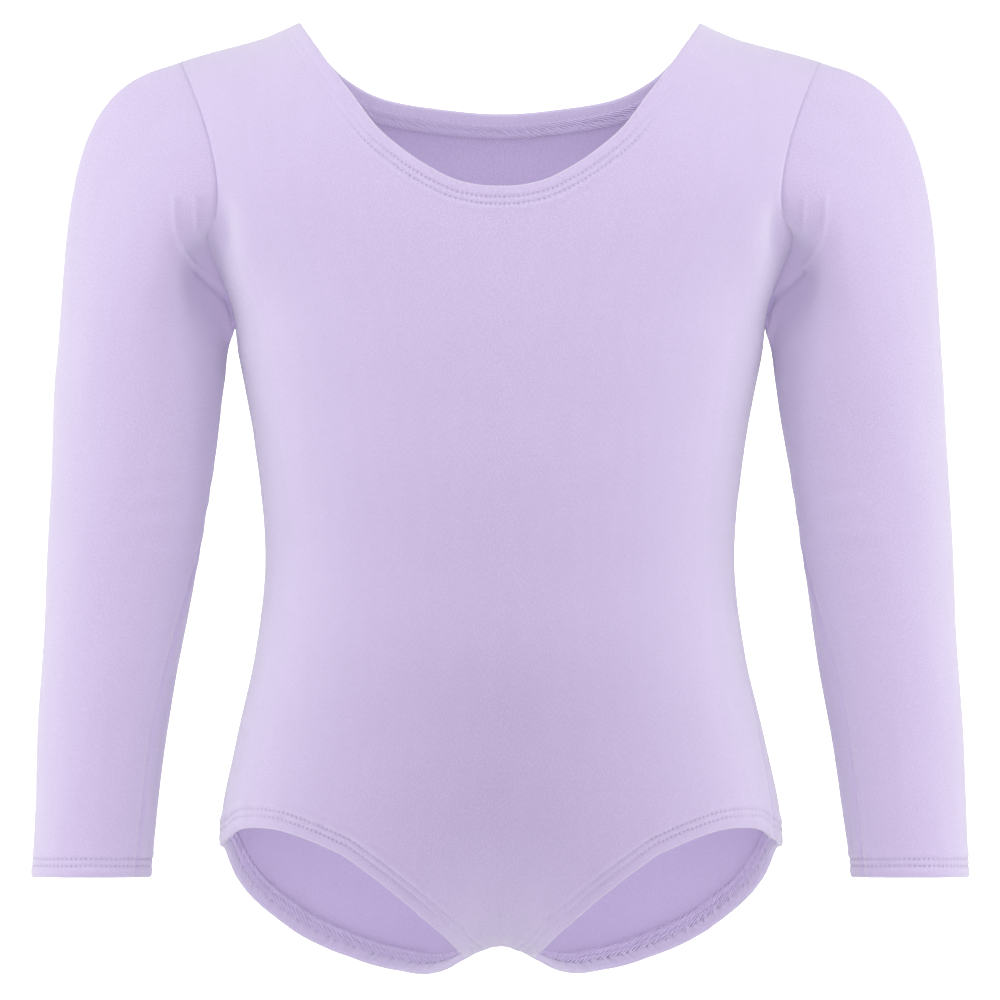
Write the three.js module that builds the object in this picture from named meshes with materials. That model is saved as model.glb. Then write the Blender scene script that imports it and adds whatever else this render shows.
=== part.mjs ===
// A child's long-sleeved gymnastics leotard, worn in shape as if on an unseen body.
// Millimetres. +Z is up, the front faces -Y and the wearer's left side is +X. The leotard is held up by its
// shoulders: z = 0 is the level of the two neck points, and everything else is below it.
import * as THREE from "three";

// ---- Overall sizes --------------------------------------------------------------------------------------
const CHEST_WIDTH = 236; // side to side, just below the armholes
const CHEST_DEPTH = 130; // front to back at the same level
const NECK_TO_CROTCH = 417; // straight down, from neck point to the middle of the crotch

// ---- Cloth, elastic and thread --------------------------------------------------------------------------
const JERSEY_THICKNESS = 0.9;
const LINING_THICKNESS = 0.8;
const ELASTIC_THICKNESS = 0.8;
const ELASTIC_WIDTH = 6;
const HEM_WIDTH = 9; // cloth turned to the inside at the neck, legs and cuffs
const HEM_RAW_EDGE = 0.6; // the turned cloth stops this far short of the hem width
const SEAM_ALLOWANCE_WIDTH = 6;
const SEAM_ALLOWANCE_THICKNESS = 1.6; // two cloths and the overlock thread, pressed
const THREAD_THICKNESS = 0.5;
const THREAD_WIDTH = 0.6;
const LOOPER_WIDTH = 3.4; // the covering thread between the two needle rows, on the inside
const NEEDLE_ROW_FROM_EDGE = 4.3; // the row nearer the edge
const NEEDLE_ROW_SPACING = 3.2;
const LAYER_GAP = 0.3; // between neighbouring layers
const SEAM_GAP = 0.4; // between the two cloths that meet at a seam

// ---- Sleeve sections, measured down from the neck points ------------------------------------------------
const SLEEVE_CAP_END = 160;
const SLEEVE_ELBOW_START = 191;
const SLEEVE_ELBOW_END = 252;
const SLEEVE_END = 384;
const SLEEVE_DEPTH_RATIO = 0.85; // front to back over side to side
const SLEEVE_TWIST = 40; // degrees the underarm seam has come round to the front at the cuff

// ---- Mesh steps -----------------------------------------------------------------------------------------
const COLUMNS = 12; // across half a panel
const SIDE_ROWS = 11;
const ARMHOLE_ROWS = 8;
const SHOULDER_ROWS = 3;
const ROWS = SIDE_ROWS + ARMHOLE_ROWS + SHOULDER_ROWS;
const AROUND = 2 * ARMHOLE_ROWS; // round a sleeve
const LINING_COLUMNS = 3;
const LINING_ROWS = 5;

// ---- Style lines, drawn for the base size and graded to the sizes above ---------------------------------
const BASE = { width: 236, depth: 130, length: 417 };
const GRADE = new THREE.Vector3(
  CHEST_WIDTH / BASE.width,
  CHEST_DEPTH / BASE.depth,
  NECK_TO_CROTCH / BASE.length,
);
const SHOULDER_TURN = -100; // above this level the body closes over the shoulders
const SEAT_TURN = -330; // below this level it closes under the crotch
const ROOF_SPAN = 150; // length of the shoulder turn, along the cloth
const SEAT_SPAN = 130; // length of the seat turn, along the cloth
const TRUNK_SPAN = SHOULDER_TURN - SEAT_TURN;
const SECTION_POWER = 2.3; // squareness of a level section of the body
const CROTCH = { level: -416, drop: 31, width: 24, rate: 0.45 };

// [level, half width of the body]
const halfWidth = smoothLine([
  [-440, 127], [-362, 126], [-323, 118.5], [-283, 109.5], [-240, 105], [-190, 110],
  [-150, 117.5], [-128, 121], [-103, 132], [-70, 149], [-20, 152],
]);
// [level, depth in front of the arms' plane] and [level, depth behind it]
const frontDepth = smoothLine([[-430, 58], [-340, 62], [-290, 63], [-242, 59], [-190, 62], [-130, 66], [-40, 62]]);
const backDepth = smoothLine([[-430, 68], [-350, 70], [-300, 62], [-242, 54], [-190, 60], [-130, 64], [-40, 62]]);
// [distance from the middle, level of the shoulder line]
const shoulderLine = smoothLine([
  [0, 36], [50, 18], [75, 7], [90.5, -1], [105, -7.5], [118, -11.3], [131, -14.6], [143, -18], [155, -22], [175, -36],
]);
// [distance from the middle, level] along each edge, from the middle outwards
const FRONT_NECK = [[0, -75.2], [9.5, -74.7], [21, -72], [33, -65.9], [44, -58.5], [56, -48], [67, -33.5], [75, -23]];
const BACK_NECK = [[0, -41.4], [21, -40], [50, -35.4], [67, -27.6], [79, -17]];
const NECK_POINT = 90.5;
const SHOULDER_POINT = 143.5;
const FRONT_ARMHOLE = [[130, -103], [127.5, -88], [126.3, -74], [129.4, -56], [134, -41], [139, -28]];
const BACK_ARMHOLE = [[131, -103], [130, -88], [130.5, -74], [132.5, -56], [136, -41], [140, -28]];
const FRONT_LEG = [[14.9, -419.4], [24.3, -410.9], [38, -398.7], [52.7, -386.6], [67, -376], [74, -372], [87.3, -366.3],
  [101.7, -362], [116, -361.8]];
const BACK_LEG = [[24, -426], [31.5, -428], [45, -427], [63, -422.6], [76.5, -417.6], [90, -410.9], [101, -403],
  [112.5, -392.9], [119, -383.9]];
const CROTCH_HALF_WIDTH = 15;
// [level, angle round the body from the middle of the front] down the side seam
const UNDERARM = [-127, 84];
const SIDE_SEAM = [[-180, 86], [-240, 86], [-300, 82], [-340, 79]];
const SIDE_SEAM_FOOT = [-366, 77.5];
// [distance below the neck points, value] down the sleeve
const sleeveMiddle = smoothLine([[160, 161.8], [215, 167.2], [269, 172.6], [323, 179.3], [377, 183.6], [384, 184]]);
const sleeveHalfWidth = smoothLine([[160, 37.8], [215, 35.3], [269, 31.7], [323, 29], [377, 26.6], [384, 26.4]]);
const sleeveTwist = smoothLine([[230, 0], [290, 0.62], [384, 1]]);

const COLOURS = { jersey: 0xc4b6da, inside: 0xb4a4d0, lining: 0xa99bc4, elastic: 0xe9e6ee, thread: 0xd6cbe8 };

// ---- The body's form ------------------------------------------------------------------------------------

/** A smooth line through [position, value] pairs given in rising order, level beyond its ends. */
function smoothLine(pairs) {
  const last = pairs.length - 1;
  const slope = pairs.map((_, i) => {
    const [a, b] = [pairs[Math.max(i - 1, 0)], pairs[Math.min(i + 1, last)]];
    return (b[1] - a[1]) / (b[0] - a[0]);
  });
  return (at) => {
    if (at <= pairs[0][0]) return pairs[0][1];
    if (at >= pairs[last][0]) return pairs[last][1];
    const i = pairs.findIndex((p) => p[0] > at) - 1;
    const span = pairs[i + 1][0] - pairs[i][0];
    const t = (at - pairs[i][0]) / span;
    return hermite(pairs[i][1], pairs[i + 1][1], slope[i] * span, slope[i + 1] * span, t);
  };
}

function hermite(from, to, leave, arrive, t) {
  const [t2, t3] = [t * t, t * t * t];
  return from * (2 * t3 - 3 * t2 + 1) + to * (3 * t2 - 2 * t3) + leave * (t3 - 2 * t2 + t) + arrive * (t3 - t2);
}

/** Level of the crotch strip's underside at a distance from the middle: the strip arches up between the legs. */
function crotchLine(x) {
  return CROTCH.level - CROTCH.drop * (1 - Math.exp(-CROTCH.rate * (x / CROTCH.width) ** 2));
}

/** Level and closing angle at `up`, the length along the cloth above the shoulder turn (negative below it). */
function levelAt(x, up) {
  if (up > 0) {
    const turn = ((up / ROOF_SPAN) * Math.PI) / 2;
    return [SHOULDER_TURN + (shoulderLine(x) - SHOULDER_TURN) * Math.sin(turn), turn];
  }
  if (up > -TRUNK_SPAN) return [SHOULDER_TURN + up, 0];
  const turn = (((-TRUNK_SPAN - up) / SEAT_SPAN) * Math.PI) / 2;
  return [SEAT_TURN + (crotchLine(x) - SEAT_TURN) * Math.sin(turn), turn];
}

/** Point of the body at an angle round it (0 front middle, 90 the side, 180 back middle) and a length `up`. */
function bodyPoint(around, up) {
  const angle = THREE.MathUtils.degToRad(around);
  const power = 2 / SECTION_POWER;
  const spread = Math.sign(Math.sin(angle)) * Math.abs(Math.sin(angle)) ** power;
  let x = spread * halfWidth(SEAT_TURN);
  let [level, turn] = levelAt(Math.abs(x), up);
  for (let pass = 0; pass < 12; pass++) {
    x = spread * halfWidth(level);
    [level, turn] = levelAt(Math.abs(x), up);
  }
  const ahead = Math.cos(angle);
  const depth = ahead > 0 ? frontDepth(level) : backDepth(level);
  const y = -Math.sign(ahead) * Math.abs(ahead) ** power * depth * Math.cos(turn);
  return new THREE.Vector3(x, y, level).multiply(GRADE);
}

/** The [angle, length] of a point of the form given by its distance from the middle and its level. */
function formPlace([x, level], isBack) {
  const side = Math.min(1, x / halfWidth(level)) ** (SECTION_POWER / 2);
  const angle = THREE.MathUtils.radToDeg(Math.asin(side));
  let up = level - SHOULDER_TURN;
  if (level > SHOULDER_TURN) {
    const rise = Math.min(1, (level - SHOULDER_TURN) / (shoulderLine(x) - SHOULDER_TURN));
    up = (ROOF_SPAN * Math.asin(rise) * 2) / Math.PI;
  } else if (level < SEAT_TURN) {
    const fall = Math.min(1, (SEAT_TURN - level) / (SEAT_TURN - crotchLine(x)));
    up = -TRUNK_SPAN - (SEAT_SPAN * Math.asin(fall) * 2) / Math.PI;
  }
  return new THREE.Vector2(isBack ? 180 - angle : angle, up);
}

/** Point and outward normal of the body at an [angle, length] place. */
function bodySpot(place) {
  const step = 0.05;
  const at = (da, du) => bodyPoint(place.x + da, place.y + du);
  const across = at(step, 0).sub(at(-step, 0));
  const upward = at(0, step).sub(at(0, -step));
  return { point: bodyPoint(place.x, place.y), normal: across.cross(upward).normalize() };
}

// ---- Panels ---------------------------------------------------------------------------------------------

/** `count` + 1 places spread evenly along a smooth line through the given places. */
function spread(places, count) {
  return new THREE.SplineCurve(places).getSpacedPoints(count);
}

/** Even steps from one place to another, the first left out. */
function stepsTo(from, to, count) {
  return Array.from({ length: count }, (_, i) => from.clone().lerp(to, (i + 1) / count));
}

/** The place reached from `from` towards `to` when its point is `distance` away. */
function placeAtDistance(from, to, distance) {
  const start = bodyPoint(from.x, from.y);
  const share = (s) => from.clone().lerp(to, s);
  let s = 1;
  for (let pass = 0; pass < 6; pass++) {
    const reached = share(s);
    s *= distance / bodyPoint(reached.x, reached.y).distanceTo(start);
  }
  return share(s);
}

/** The four edges of half a panel as places: leg, neck, middle (with the crotch seam) and side. */
function panelEdges(isBack) {
  const place = (pair) => formPlace(pair, isBack);
  const middle = isBack ? 180 : 0;
  const inset = SEAM_GAP / 2;
  const seamInset = isBack ? 0.12 : -0.12; // degrees, the same gap round the body
  const crotchUp = -TRUNK_SPAN - SEAT_SPAN + inset;
  const roofUp = ROOF_SPAN - inset;
  const crotchAngle = (x) => formPlace([x, crotchLine(x)], isBack).x;
  const roofAngle = (x) => formPlace([x, shoulderLine(x)], isBack).x;
  const crotchCorner = new THREE.Vector2(crotchAngle(CROTCH_HALF_WIDTH), crotchUp);
  const sidePlace = ([level, angle]) => new THREE.Vector2(angle + seamInset, formPlace([0, level], isBack).y);
  const foot = new THREE.Vector2(
    SIDE_SEAM_FOOT[1] + seamInset,
    formPlace([halfWidth(SIDE_SEAM_FOOT[0]), SIDE_SEAM_FOOT[0]], isBack).y,
  );
  const underarm = sidePlace(UNDERARM);
  const shoulderPoint = new THREE.Vector2(roofAngle(SHOULDER_POINT), roofUp);
  const neckPoint = new THREE.Vector2(roofAngle(NECK_POINT), roofUp);
  const neckHalf = [...(isBack ? BACK_NECK : FRONT_NECK).map(place), neckPoint];
  const neckOther = neckHalf.slice(1).reverse().map((p) => new THREE.Vector2(2 * middle - p.x, p.y));
  const neck = spread([...neckOther, ...neckHalf], 2 * COLUMNS).slice(COLUMNS);
  neck[0].x = middle;
  const legLine = (isBack ? BACK_LEG : FRONT_LEG).map(place);
  if (isBack) legLine.push(new THREE.Vector2(92, foot.y - 3));
  const leg = spread([crotchCorner, ...legLine, foot], COLUMNS);

  const crotchInner = new THREE.Vector2(crotchAngle(CROTCH_HALF_WIDTH - HEM_WIDTH), crotchUp);
  const crotchMiddle = new THREE.Vector2(middle, crotchUp);
  const neckInner = new THREE.Vector2(middle, neck[0].y - 4);
  const belowNeck = placeAtDistance(neck[0], neckInner, HEM_WIDTH);
  const underarmLevel = new THREE.Vector2(middle, -114);
  const shoulderLevel = new THREE.Vector2(middle, belowNeck.y - 30);
  const middleLine = [
    crotchCorner, crotchInner, crotchMiddle,
    ...stepsTo(crotchMiddle, underarmLevel, SIDE_ROWS - 2),
    ...stepsTo(underarmLevel, shoulderLevel, ARMHOLE_ROWS),
    ...stepsTo(shoulderLevel, belowNeck, SHOULDER_ROWS - 1),
    neck[0],
  ];

  const sideWhole = [...SIDE_SEAM.map(sidePlace).reverse()];
  const sideUp = spread([foot, ...sideWhole, underarm], 40);
  const hemTop = placeAtDistance(foot, sideUp[2], HEM_WIDTH);
  const hemClear = placeAtDistance(foot, sideUp[3], 2 * HEM_WIDTH);
  const above = sideUp.filter((p) => p.y > hemClear.y + 4);
  const armhole = spread(
    [underarm, ...(isBack ? BACK_ARMHOLE : FRONT_ARMHOLE).map(place), shoulderPoint],
    ARMHOLE_ROWS,
  );
  const besideNeck = placeAtDistance(neckPoint, shoulderPoint, HEM_WIDTH);
  const sideLine = [
    foot, hemTop, ...spread([hemClear, ...above], SIDE_ROWS - 2),
    ...armhole.slice(1),
    ...stepsTo(shoulderPoint, besideNeck, SHOULDER_ROWS - 1),
    neckPoint,
  ];
  return { leg, neck, middleLine, sideLine };
}

/** Rows of {point, normal} from the leg edge up to the neck edge, each from the middle out to the side. */
function panelHalf(isBack) {
  const { leg, neck, middleLine, sideLine } = panelEdges(isBack);
  const corner = (u, v) =>
    leg[0].clone().multiplyScalar((1 - u) * (1 - v))
      .addScaledVector(leg[COLUMNS], u * (1 - v))
      .addScaledVector(neck[0], (1 - u) * v)
      .addScaledVector(neck[COLUMNS], u * v);
  const places = middleLine.map((_, i) => {
    const v = i / ROWS;
    return leg.map((_, j) => {
      const u = j / COLUMNS;
      return middleLine[i].clone().multiplyScalar(1 - u)
        .addScaledVector(sideLine[i], u)
        .addScaledVector(leg[j], 1 - v)
        .addScaledVector(neck[j], v)
        .sub(corner(u, v));
    });
  });
  for (let j = 1; j < COLUMNS; j++) {
    const clear = CROTCH_HALF_WIDTH + ((2 * HEM_WIDTH - CROTCH_HALF_WIDTH) * j) / COLUMNS;
    places[2][j] = placeAtDistance(places[0][j], places[2][j], clear);
    places[1][j] = placeAtDistance(places[0][j], places[1][j], HEM_WIDTH);
    places[ROWS - 2][j] = placeAtDistance(places[ROWS][j], places[ROWS - 2][j], 2.6 * HEM_WIDTH);
    places[ROWS - 1][j] = placeAtDistance(places[ROWS][j], places[ROWS - 2][j], HEM_WIDTH);
  }
  return places.map((row) => row.map(bodySpot));
}

// ---- Sleeves --------------------------------------------------------------------------------------------

/** A level ring of the left sleeve at a distance down: outer side, back, inner side, front and round again. */
function sleeveRing(down) {
  const twist = THREE.MathUtils.degToRad(SLEEVE_TWIST * sleeveTwist(down));
  const half = sleeveHalfWidth(down);
  return Array.from({ length: AROUND + 1 }, (_, k) => {
    const angle = (2 * Math.PI * k) / AROUND + twist;
    const x = sleeveMiddle(down) + half * Math.cos(angle);
    return new THREE.Vector3(x, half * SLEEVE_DEPTH_RATIO * Math.sin(angle), -down).multiply(GRADE);
  });
}

/** The armhole of the left side as spots, from the shoulder point down the back and up the front. */
function armholeRing(front, back) {
  const top = SIDE_ROWS + ARMHOLE_ROWS;
  const edge = (rows, i) => ({ ...rows[i][COLUMNS], inner: rows[i][COLUMNS - 1] });
  const ring = [];
  for (let i = top; i >= SIDE_ROWS; i--) ring.push(edge(back, i));
  for (let i = SIDE_ROWS + 1; i <= top; i++) ring.push(edge(front, i));
  ring[AROUND] = ring[0];
  return ring;
}

/** Rows of points of the sleeve head, from just outside the armhole to the first level ring. */
function sleeveHead(armhole, rowCount) {
  const end = sleeveRing(SLEEVE_CAP_END);
  const down = new THREE.Vector3(0.1, 0, -1).normalize();
  const strands = armhole.map((spot, k) => {
    const under = ((1 - Math.cos((2 * Math.PI * k) / AROUND)) / 2) ** 2; // 0 at the shoulder, 1 at the underarm
    const outward = spot.point.clone().sub(spot.inner.point).normalize();
    const leave = new THREE.Vector3(0.97 - 0.62 * under, 0, -0.25 - 0.69 * under).normalize();
    const back = Math.max(0, -leave.dot(outward));
    const aslant = Math.sqrt(Math.max(0, 1 - leave.dot(outward) ** 2));
    const start = spot.point.clone().addScaledVector(leave, 1.5 * SEAM_GAP + JERSEY_THICKNESS * aslant)
      .addScaledVector(spot.normal, (JERSEY_THICKNESS + SEAM_GAP) * Math.max(back, 0.6 * aslant));
    const reach = start.distanceTo(end[k]) * 1.15;
    return (t) => new THREE.Vector3(
      ...["x", "y", "z"].map((axis) =>
        hermite(start[axis], end[k][axis], leave[axis] * reach, down[axis] * reach, t)),
    );
  });
  return Array.from({ length: rowCount + 1 }, (_, i) => strands.map((strand) => strand(i / rowCount)));
}

/** Adds outward normals to closed rows of points. */
function withNormals(rows) {
  const last = rows.length - 1;
  return rows.map((row, i) =>
    row.map((point, k) => {
      const along = rows[Math.max(i - 1, 0)][k].clone().sub(rows[Math.min(i + 1, last)][k]);
      const round = row[(k + 1) % AROUND].clone().sub(row[(k + AROUND - 1) % AROUND]);
      return { point, normal: round.cross(along).normalize() };
    }),
  );
}

/** The four lengths of the left sleeve as rows of spots, from the armhole down. */
function sleeveLengths(armhole) {
  const stations = (from, to, count) =>
    Array.from({ length: count + 1 }, (_, i) => sleeveRing(from + ((to - from) * i) / count));
  const head = sleeveHead(armhole, 6);
  const upper = stations(SLEEVE_CAP_END + SEAM_GAP, SLEEVE_ELBOW_START, 2);
  const elbow = stations(SLEEVE_ELBOW_START + SEAM_GAP, SLEEVE_ELBOW_END, 3);
  const lower = [
    ...stations(SLEEVE_ELBOW_END + SEAM_GAP, SLEEVE_END - HEM_WIDTH / GRADE.z, 5),
    sleeveRing(SLEEVE_END),
  ];
  const all = withNormals([...head, ...upper, ...elbow, ...lower]);
  let at = 0;
  return [head, upper, elbow, lower].map((part) => all.slice(at, (at += part.length)));
}

// ---- Solids ---------------------------------------------------------------------------------------------

/** The spot part of the way from one spot to another. */
function between(a, b, share) {
  return {
    point: a.point.clone().lerp(b.point, share),
    normal: a.normal.clone().lerp(b.normal, share).normalize(),
  };
}

/** The rows of spots on the wearer's other side. */
function mirrored(rows) {
  const flip = (v) => new THREE.Vector3(-v.x, v.y, v.z);
  return rows.map((row) => row.map(({ point, normal }) => ({ point: flip(point), normal: flip(normal) })));
}

/** Whether a patch's faces look along the normals of its spots. */
function looksOut(rows) {
  let sum = 0;
  for (let i = 0; i + 1 < rows.length; i++)
    for (let j = 0; j + 1 < rows[i].length; j++) {
      const { point, normal } = rows[i][j];
      const across = rows[i][j + 1].point.clone().sub(point);
      sum += across.cross(rows[i + 1][j + 1].point.clone().sub(point)).dot(normal);
    }
  return sum > 0;
}

/** A closed sheet over patches of spots, from `low` to `high` along their normals. */
function sheet(patches, low, high) {
  const index = new Map();
  const spots = [];
  const keep = (spot) => {
    const key = spot.point.toArray().map((v) => Math.round(v * 1000) + 0).join();
    if (!index.has(key)) {
      index.set(key, spots.length);
      spots.push(spot);
    }
    return index.get(key);
  };
  const faces = [];
  const addFace = (a, b, c, outward) => {
    if (a !== b && b !== c && a !== c) faces.push(outward ? [a, b, c] : [a, c, b]);
  };
  for (const rows of patches) {
    const outward = looksOut(rows);
    for (let i = 0; i + 1 < rows.length; i++)
      for (let j = 0; j + 1 < rows[i].length; j++) {
        const [a, b] = [keep(rows[i][j]), keep(rows[i][j + 1])];
        const [c, d] = [keep(rows[i + 1][j + 1]), keep(rows[i + 1][j])];
        addFace(a, b, c, outward);
        addFace(a, c, d, outward);
      }
  }
  const count = spots.length;
  const used = new Set(faces.flatMap(([a, b, c]) => [`${a},${b}`, `${b},${c}`, `${c},${a}`]));
  const closed = faces.flatMap(([a, b, c]) => {
    const rim = [[a, b], [b, c], [c, a]].filter(([from, to]) => !used.has(`${to},${from}`));
    return [
      [a, b, c], [a + count, c + count, b + count],
      ...rim.flatMap(([from, to]) => [[to, from, from + count], [to, from + count, to + count]]),
    ];
  });
  const layer = (height) => spots.flatMap(({ point, normal }) => point.clone().addScaledVector(normal, height).toArray());
  const geometry = new THREE.BufferGeometry();
  geometry.setAttribute("position", new THREE.Float32BufferAttribute([...layer(high), ...layer(low)], 3));
  geometry.setIndex(closed.flat());
  geometry.computeVertexNormals();
  return geometry;
}

/** Rows of spots that follow an edge of a patch, `from` and `to` being distances in from that edge. */
function strip({ edge, inner, edgeLast }, from, to) {
  const row = (distance) => edge.map((spot, j) =>
    between(spot, inner[j], distance / spot.point.distanceTo(inner[j].point)));
  return edgeLast ? [row(to), row(from)] : [row(from), row(to)];
}

const group = new THREE.Group();
group.name = "gymnastics_leotard";

function add(name, geometry, colour, roughness = 0.9) {
  const mesh = new THREE.Mesh(geometry, new THREE.MeshStandardMaterial({ color: colour, roughness, metalness: 0 }));
  mesh.name = name;
  group.add(mesh);
}

/** Adds a piece of the left side and its twin on the right. */
function addPair(name, patches, low, high, colour) {
  add(`left_${name}`, sheet(patches, low, high), colour);
  add(`right_${name}`, sheet(patches.map(mirrored), low, high), colour);
}

const CLOTH = [-JERSEY_THICKNESS / 2, JERSEY_THICKNESS / 2];

/** The [low, high] of a layer inside another one. */
function layerInside([low], thickness, gap = LAYER_GAP) {
  return [low - gap - thickness, low - gap];
}

const ELASTIC_LAYER = layerInside(CLOTH, ELASTIC_THICKNESS);
const TURNED_LAYER = layerInside(ELASTIC_LAYER, JERSEY_THICKNESS);
const LOOPER_LAYER = layerInside(TURNED_LAYER, THREAD_THICKNESS, 1.5 * LAYER_GAP);
const LINING_LAYER = layerInside(LOOPER_LAYER, LINING_THICKNESS, 2 * LAYER_GAP);
const ALLOWANCE_LAYER = layerInside(CLOTH, SEAM_ALLOWANCE_THICKNESS, 2 * LAYER_GAP);
const STITCH_LAYER = [CLOTH[1] + LAYER_GAP, CLOTH[1] + LAYER_GAP + THREAD_THICKNESS];

/** The turned cloth, elastic, needle rows and looper thread of one hem; `put` receives each of them. */
function hem(name, edges, hasElastic, put) {
  const rowTwo = NEEDLE_ROW_FROM_EDGE + NEEDLE_ROW_SPACING;
  const turned = hasElastic ? TURNED_LAYER : layerInside(CLOTH, JERSEY_THICKNESS);
  const looper = layerInside(turned, THREAD_THICKNESS, 1.5 * LAYER_GAP);
  const place = (piece, from, width, layer, colour) =>
    put(`${name}_${piece}`, edges.map((edge) => strip(edge, from, from + width)), layer, colour);
  if (hasElastic) place("elastic", 0.4, ELASTIC_WIDTH, ELASTIC_LAYER, COLOURS.elastic);
  place("hem", 0.2, HEM_WIDTH - HEM_RAW_EDGE, turned, COLOURS.inside);
  place("looper", NEEDLE_ROW_FROM_EDGE, LOOPER_WIDTH, looper, COLOURS.thread);
  place("stitch_outer", NEEDLE_ROW_FROM_EDGE, THREAD_WIDTH, STITCH_LAYER, COLOURS.thread);
  place("stitch_inner", rowTwo, THREAD_WIDTH, STITCH_LAYER, COLOURS.thread);
}

function addPanels(front, back) {
  add("front_panel", sheet([front, mirrored(front)], ...CLOTH), COLOURS.jersey);
  add("back_panel", sheet([back, mirrored(back)], ...CLOTH), COLOURS.jersey);
}

/** The same row with its spots at the given columns taken from another row, so that two panels' hems meet. */
function joinedAt(row, other, columns) {
  return row.map((spot, j) => (columns.includes(j) ? other[j] : spot));
}

function addNeckHem(front, back) {
  const joined = (i) => joinedAt(back[i], front[i], [COLUMNS]);
  const ahead = { edge: front[ROWS], inner: front[ROWS - 1], edgeLast: true };
  const behind = { edge: joined(ROWS), inner: joined(ROWS - 1), edgeLast: true };
  hem("neck", [ahead, behind], true, (name, patches, layer, colour) =>
    add(name, sheet([...patches, ...patches.map(mirrored)], ...layer), colour));
}

function addLegHems(front, back) {
  const joined = (i) => joinedAt(back[i], front[i], [0, COLUMNS]);
  const ahead = { edge: front[0], inner: front[1], edgeLast: false };
  const behind = { edge: joined(0), inner: joined(1), edgeLast: false };
  hem("leg", [ahead, behind], true, (name, patches, layer, colour) => addPair(name, patches, ...layer, colour));
}

/** The lining of the crotch, one piece across the crotch seam and lying inside the leg hems. */
function addCrotch(front, back) {
  const joined = back.map((row, i) => (i <= 2 ? [front[i][0], ...row.slice(1)] : row));
  const region = (rows, from, to) => rows.slice(from, to + 1).map((row) => row.slice(0, LINING_COLUMNS + 1));
  const inset = (rows) => rows.map((row, i) =>
    i === 0 ? row.map((spot, j) => between(spot, rows[1][j], 0.12)) : row);
  const patches = [front, joined].map((rows) => trimmedLevel(inset(region(rows, 0, LINING_ROWS))));
  add("crotch_lining", sheet([...patches, ...patches.map(mirrored)], ...LINING_LAYER), COLOURS.lining);
  const reach = (CROTCH_HALF_WIDTH - HEM_WIDTH - 2 * LAYER_GAP) / (CROTCH_HALF_WIDTH - HEM_WIDTH);
  const across = [between(front[2][0], front[1][0], reach), front[2][0]];
  const share = SEAM_ALLOWANCE_WIDTH / 2 / front[2][0].point.distanceTo(front[3][0].point);
  const rowAt = (spot, rows, s) => offsetSpot(spot, front[2][0], between(rows[2][0], rows[3][0], s));
  const half = [back, front].map((rows) => across.map((spot) => rowAt(spot, rows, share)));
  add("crotch_seam", sheet([half, mirrored(half)], ...ALLOWANCE_LAYER), COLOURS.thread);
}

/** Rows cut off straight across at the level where the first column ends. */
function trimmedLevel(rows) {
  const top = rows[rows.length - 1][0].point.z;
  return rows.map((row, i) => row.map((spot, j) => {
    if (spot.point.z <= top) return spot;
    const above = rows.findIndex((other) => other[j].point.z > top);
    if (above < 1) return spot;
    const [low, high] = [rows[above - 1][j], rows[above][j]];
    return between(low, high, (top - low.point.z) / (high.point.z - low.point.z));
  }));
}

/** A spot moved by the way from one spot to another, with the second one's normal. */
function offsetSpot(spot, from, to) {
  return { point: spot.point.clone().add(to.point).sub(from.point), normal: spot.normal.clone().add(to.normal).normalize() };
}

/** The seam allowances of a joint between the two panels, from row `first` to row `last` of their side line. */
function seamPatch(front, back, first, last) {
  const half = SEAM_ALLOWANCE_WIDTH / 2;
  const inward = (rows, i) => {
    const [edge, inner] = [rows[i][COLUMNS], rows[i][COLUMNS - 1]];
    return between(edge, inner, half / edge.point.distanceTo(inner.point));
  };
  return Array.from({ length: last - first + 1 }, (_, n) => {
    const i = first + n;
    return [inward(front, i), between(front[i][COLUMNS], back[i][COLUMNS], 0.5), inward(back, i)];
  });
}

/** The allowances round the armhole, one patch on each panel. */
function armholeSeamPatches(front, back) {
  const [first, last] = [SIDE_ROWS, SIDE_ROWS + ARMHOLE_ROWS];
  const at = (rows, i, distance) => {
    const [edge, inner] = [rows[i][COLUMNS], rows[i][COLUMNS - 1]];
    return between(edge, inner, distance / edge.point.distanceTo(inner.point));
  };
  const row = (rows, i) => [at(rows, i, SEAM_ALLOWANCE_WIDTH), at(rows, i, LAYER_GAP)];
  const patch = (rows) => Array.from({ length: last - first + 1 }, (_, n) => row(rows, first + n));
  const [ahead, behind] = [patch(front), patch(back)];
  for (const i of [0, last - first]) behind[i] = ahead[i] = ahead[i].map((spot, k) => between(spot, behind[i][k], 0.5));
  return [ahead, behind];
}

function addBodySeams(front, back) {
  const side = seamPatch(front, back, 1, SIDE_ROWS);
  side[0] = side[0].map((spot, k) => between(spot, side[1][k], 0.06));
  const top = side.length - 1;
  const clear = (SEAM_ALLOWANCE_WIDTH + 2) / side[top][1].point.distanceTo(side[top - 1][1].point);
  side[top] = side[top].map((spot, k) => between(spot, side[top - 1][k], clear));
  addPair("side_seam", [side], ...ALLOWANCE_LAYER, COLOURS.thread);
  const shoulder = shoulderSeamRows(front, back);
  addPair("shoulder_seam", [shoulder], ...ALLOWANCE_LAYER, COLOURS.thread);
  addPair("armhole_seam", armholeSeamPatches(front, back), ...ALLOWANCE_LAYER, COLOURS.thread);
}

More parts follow.
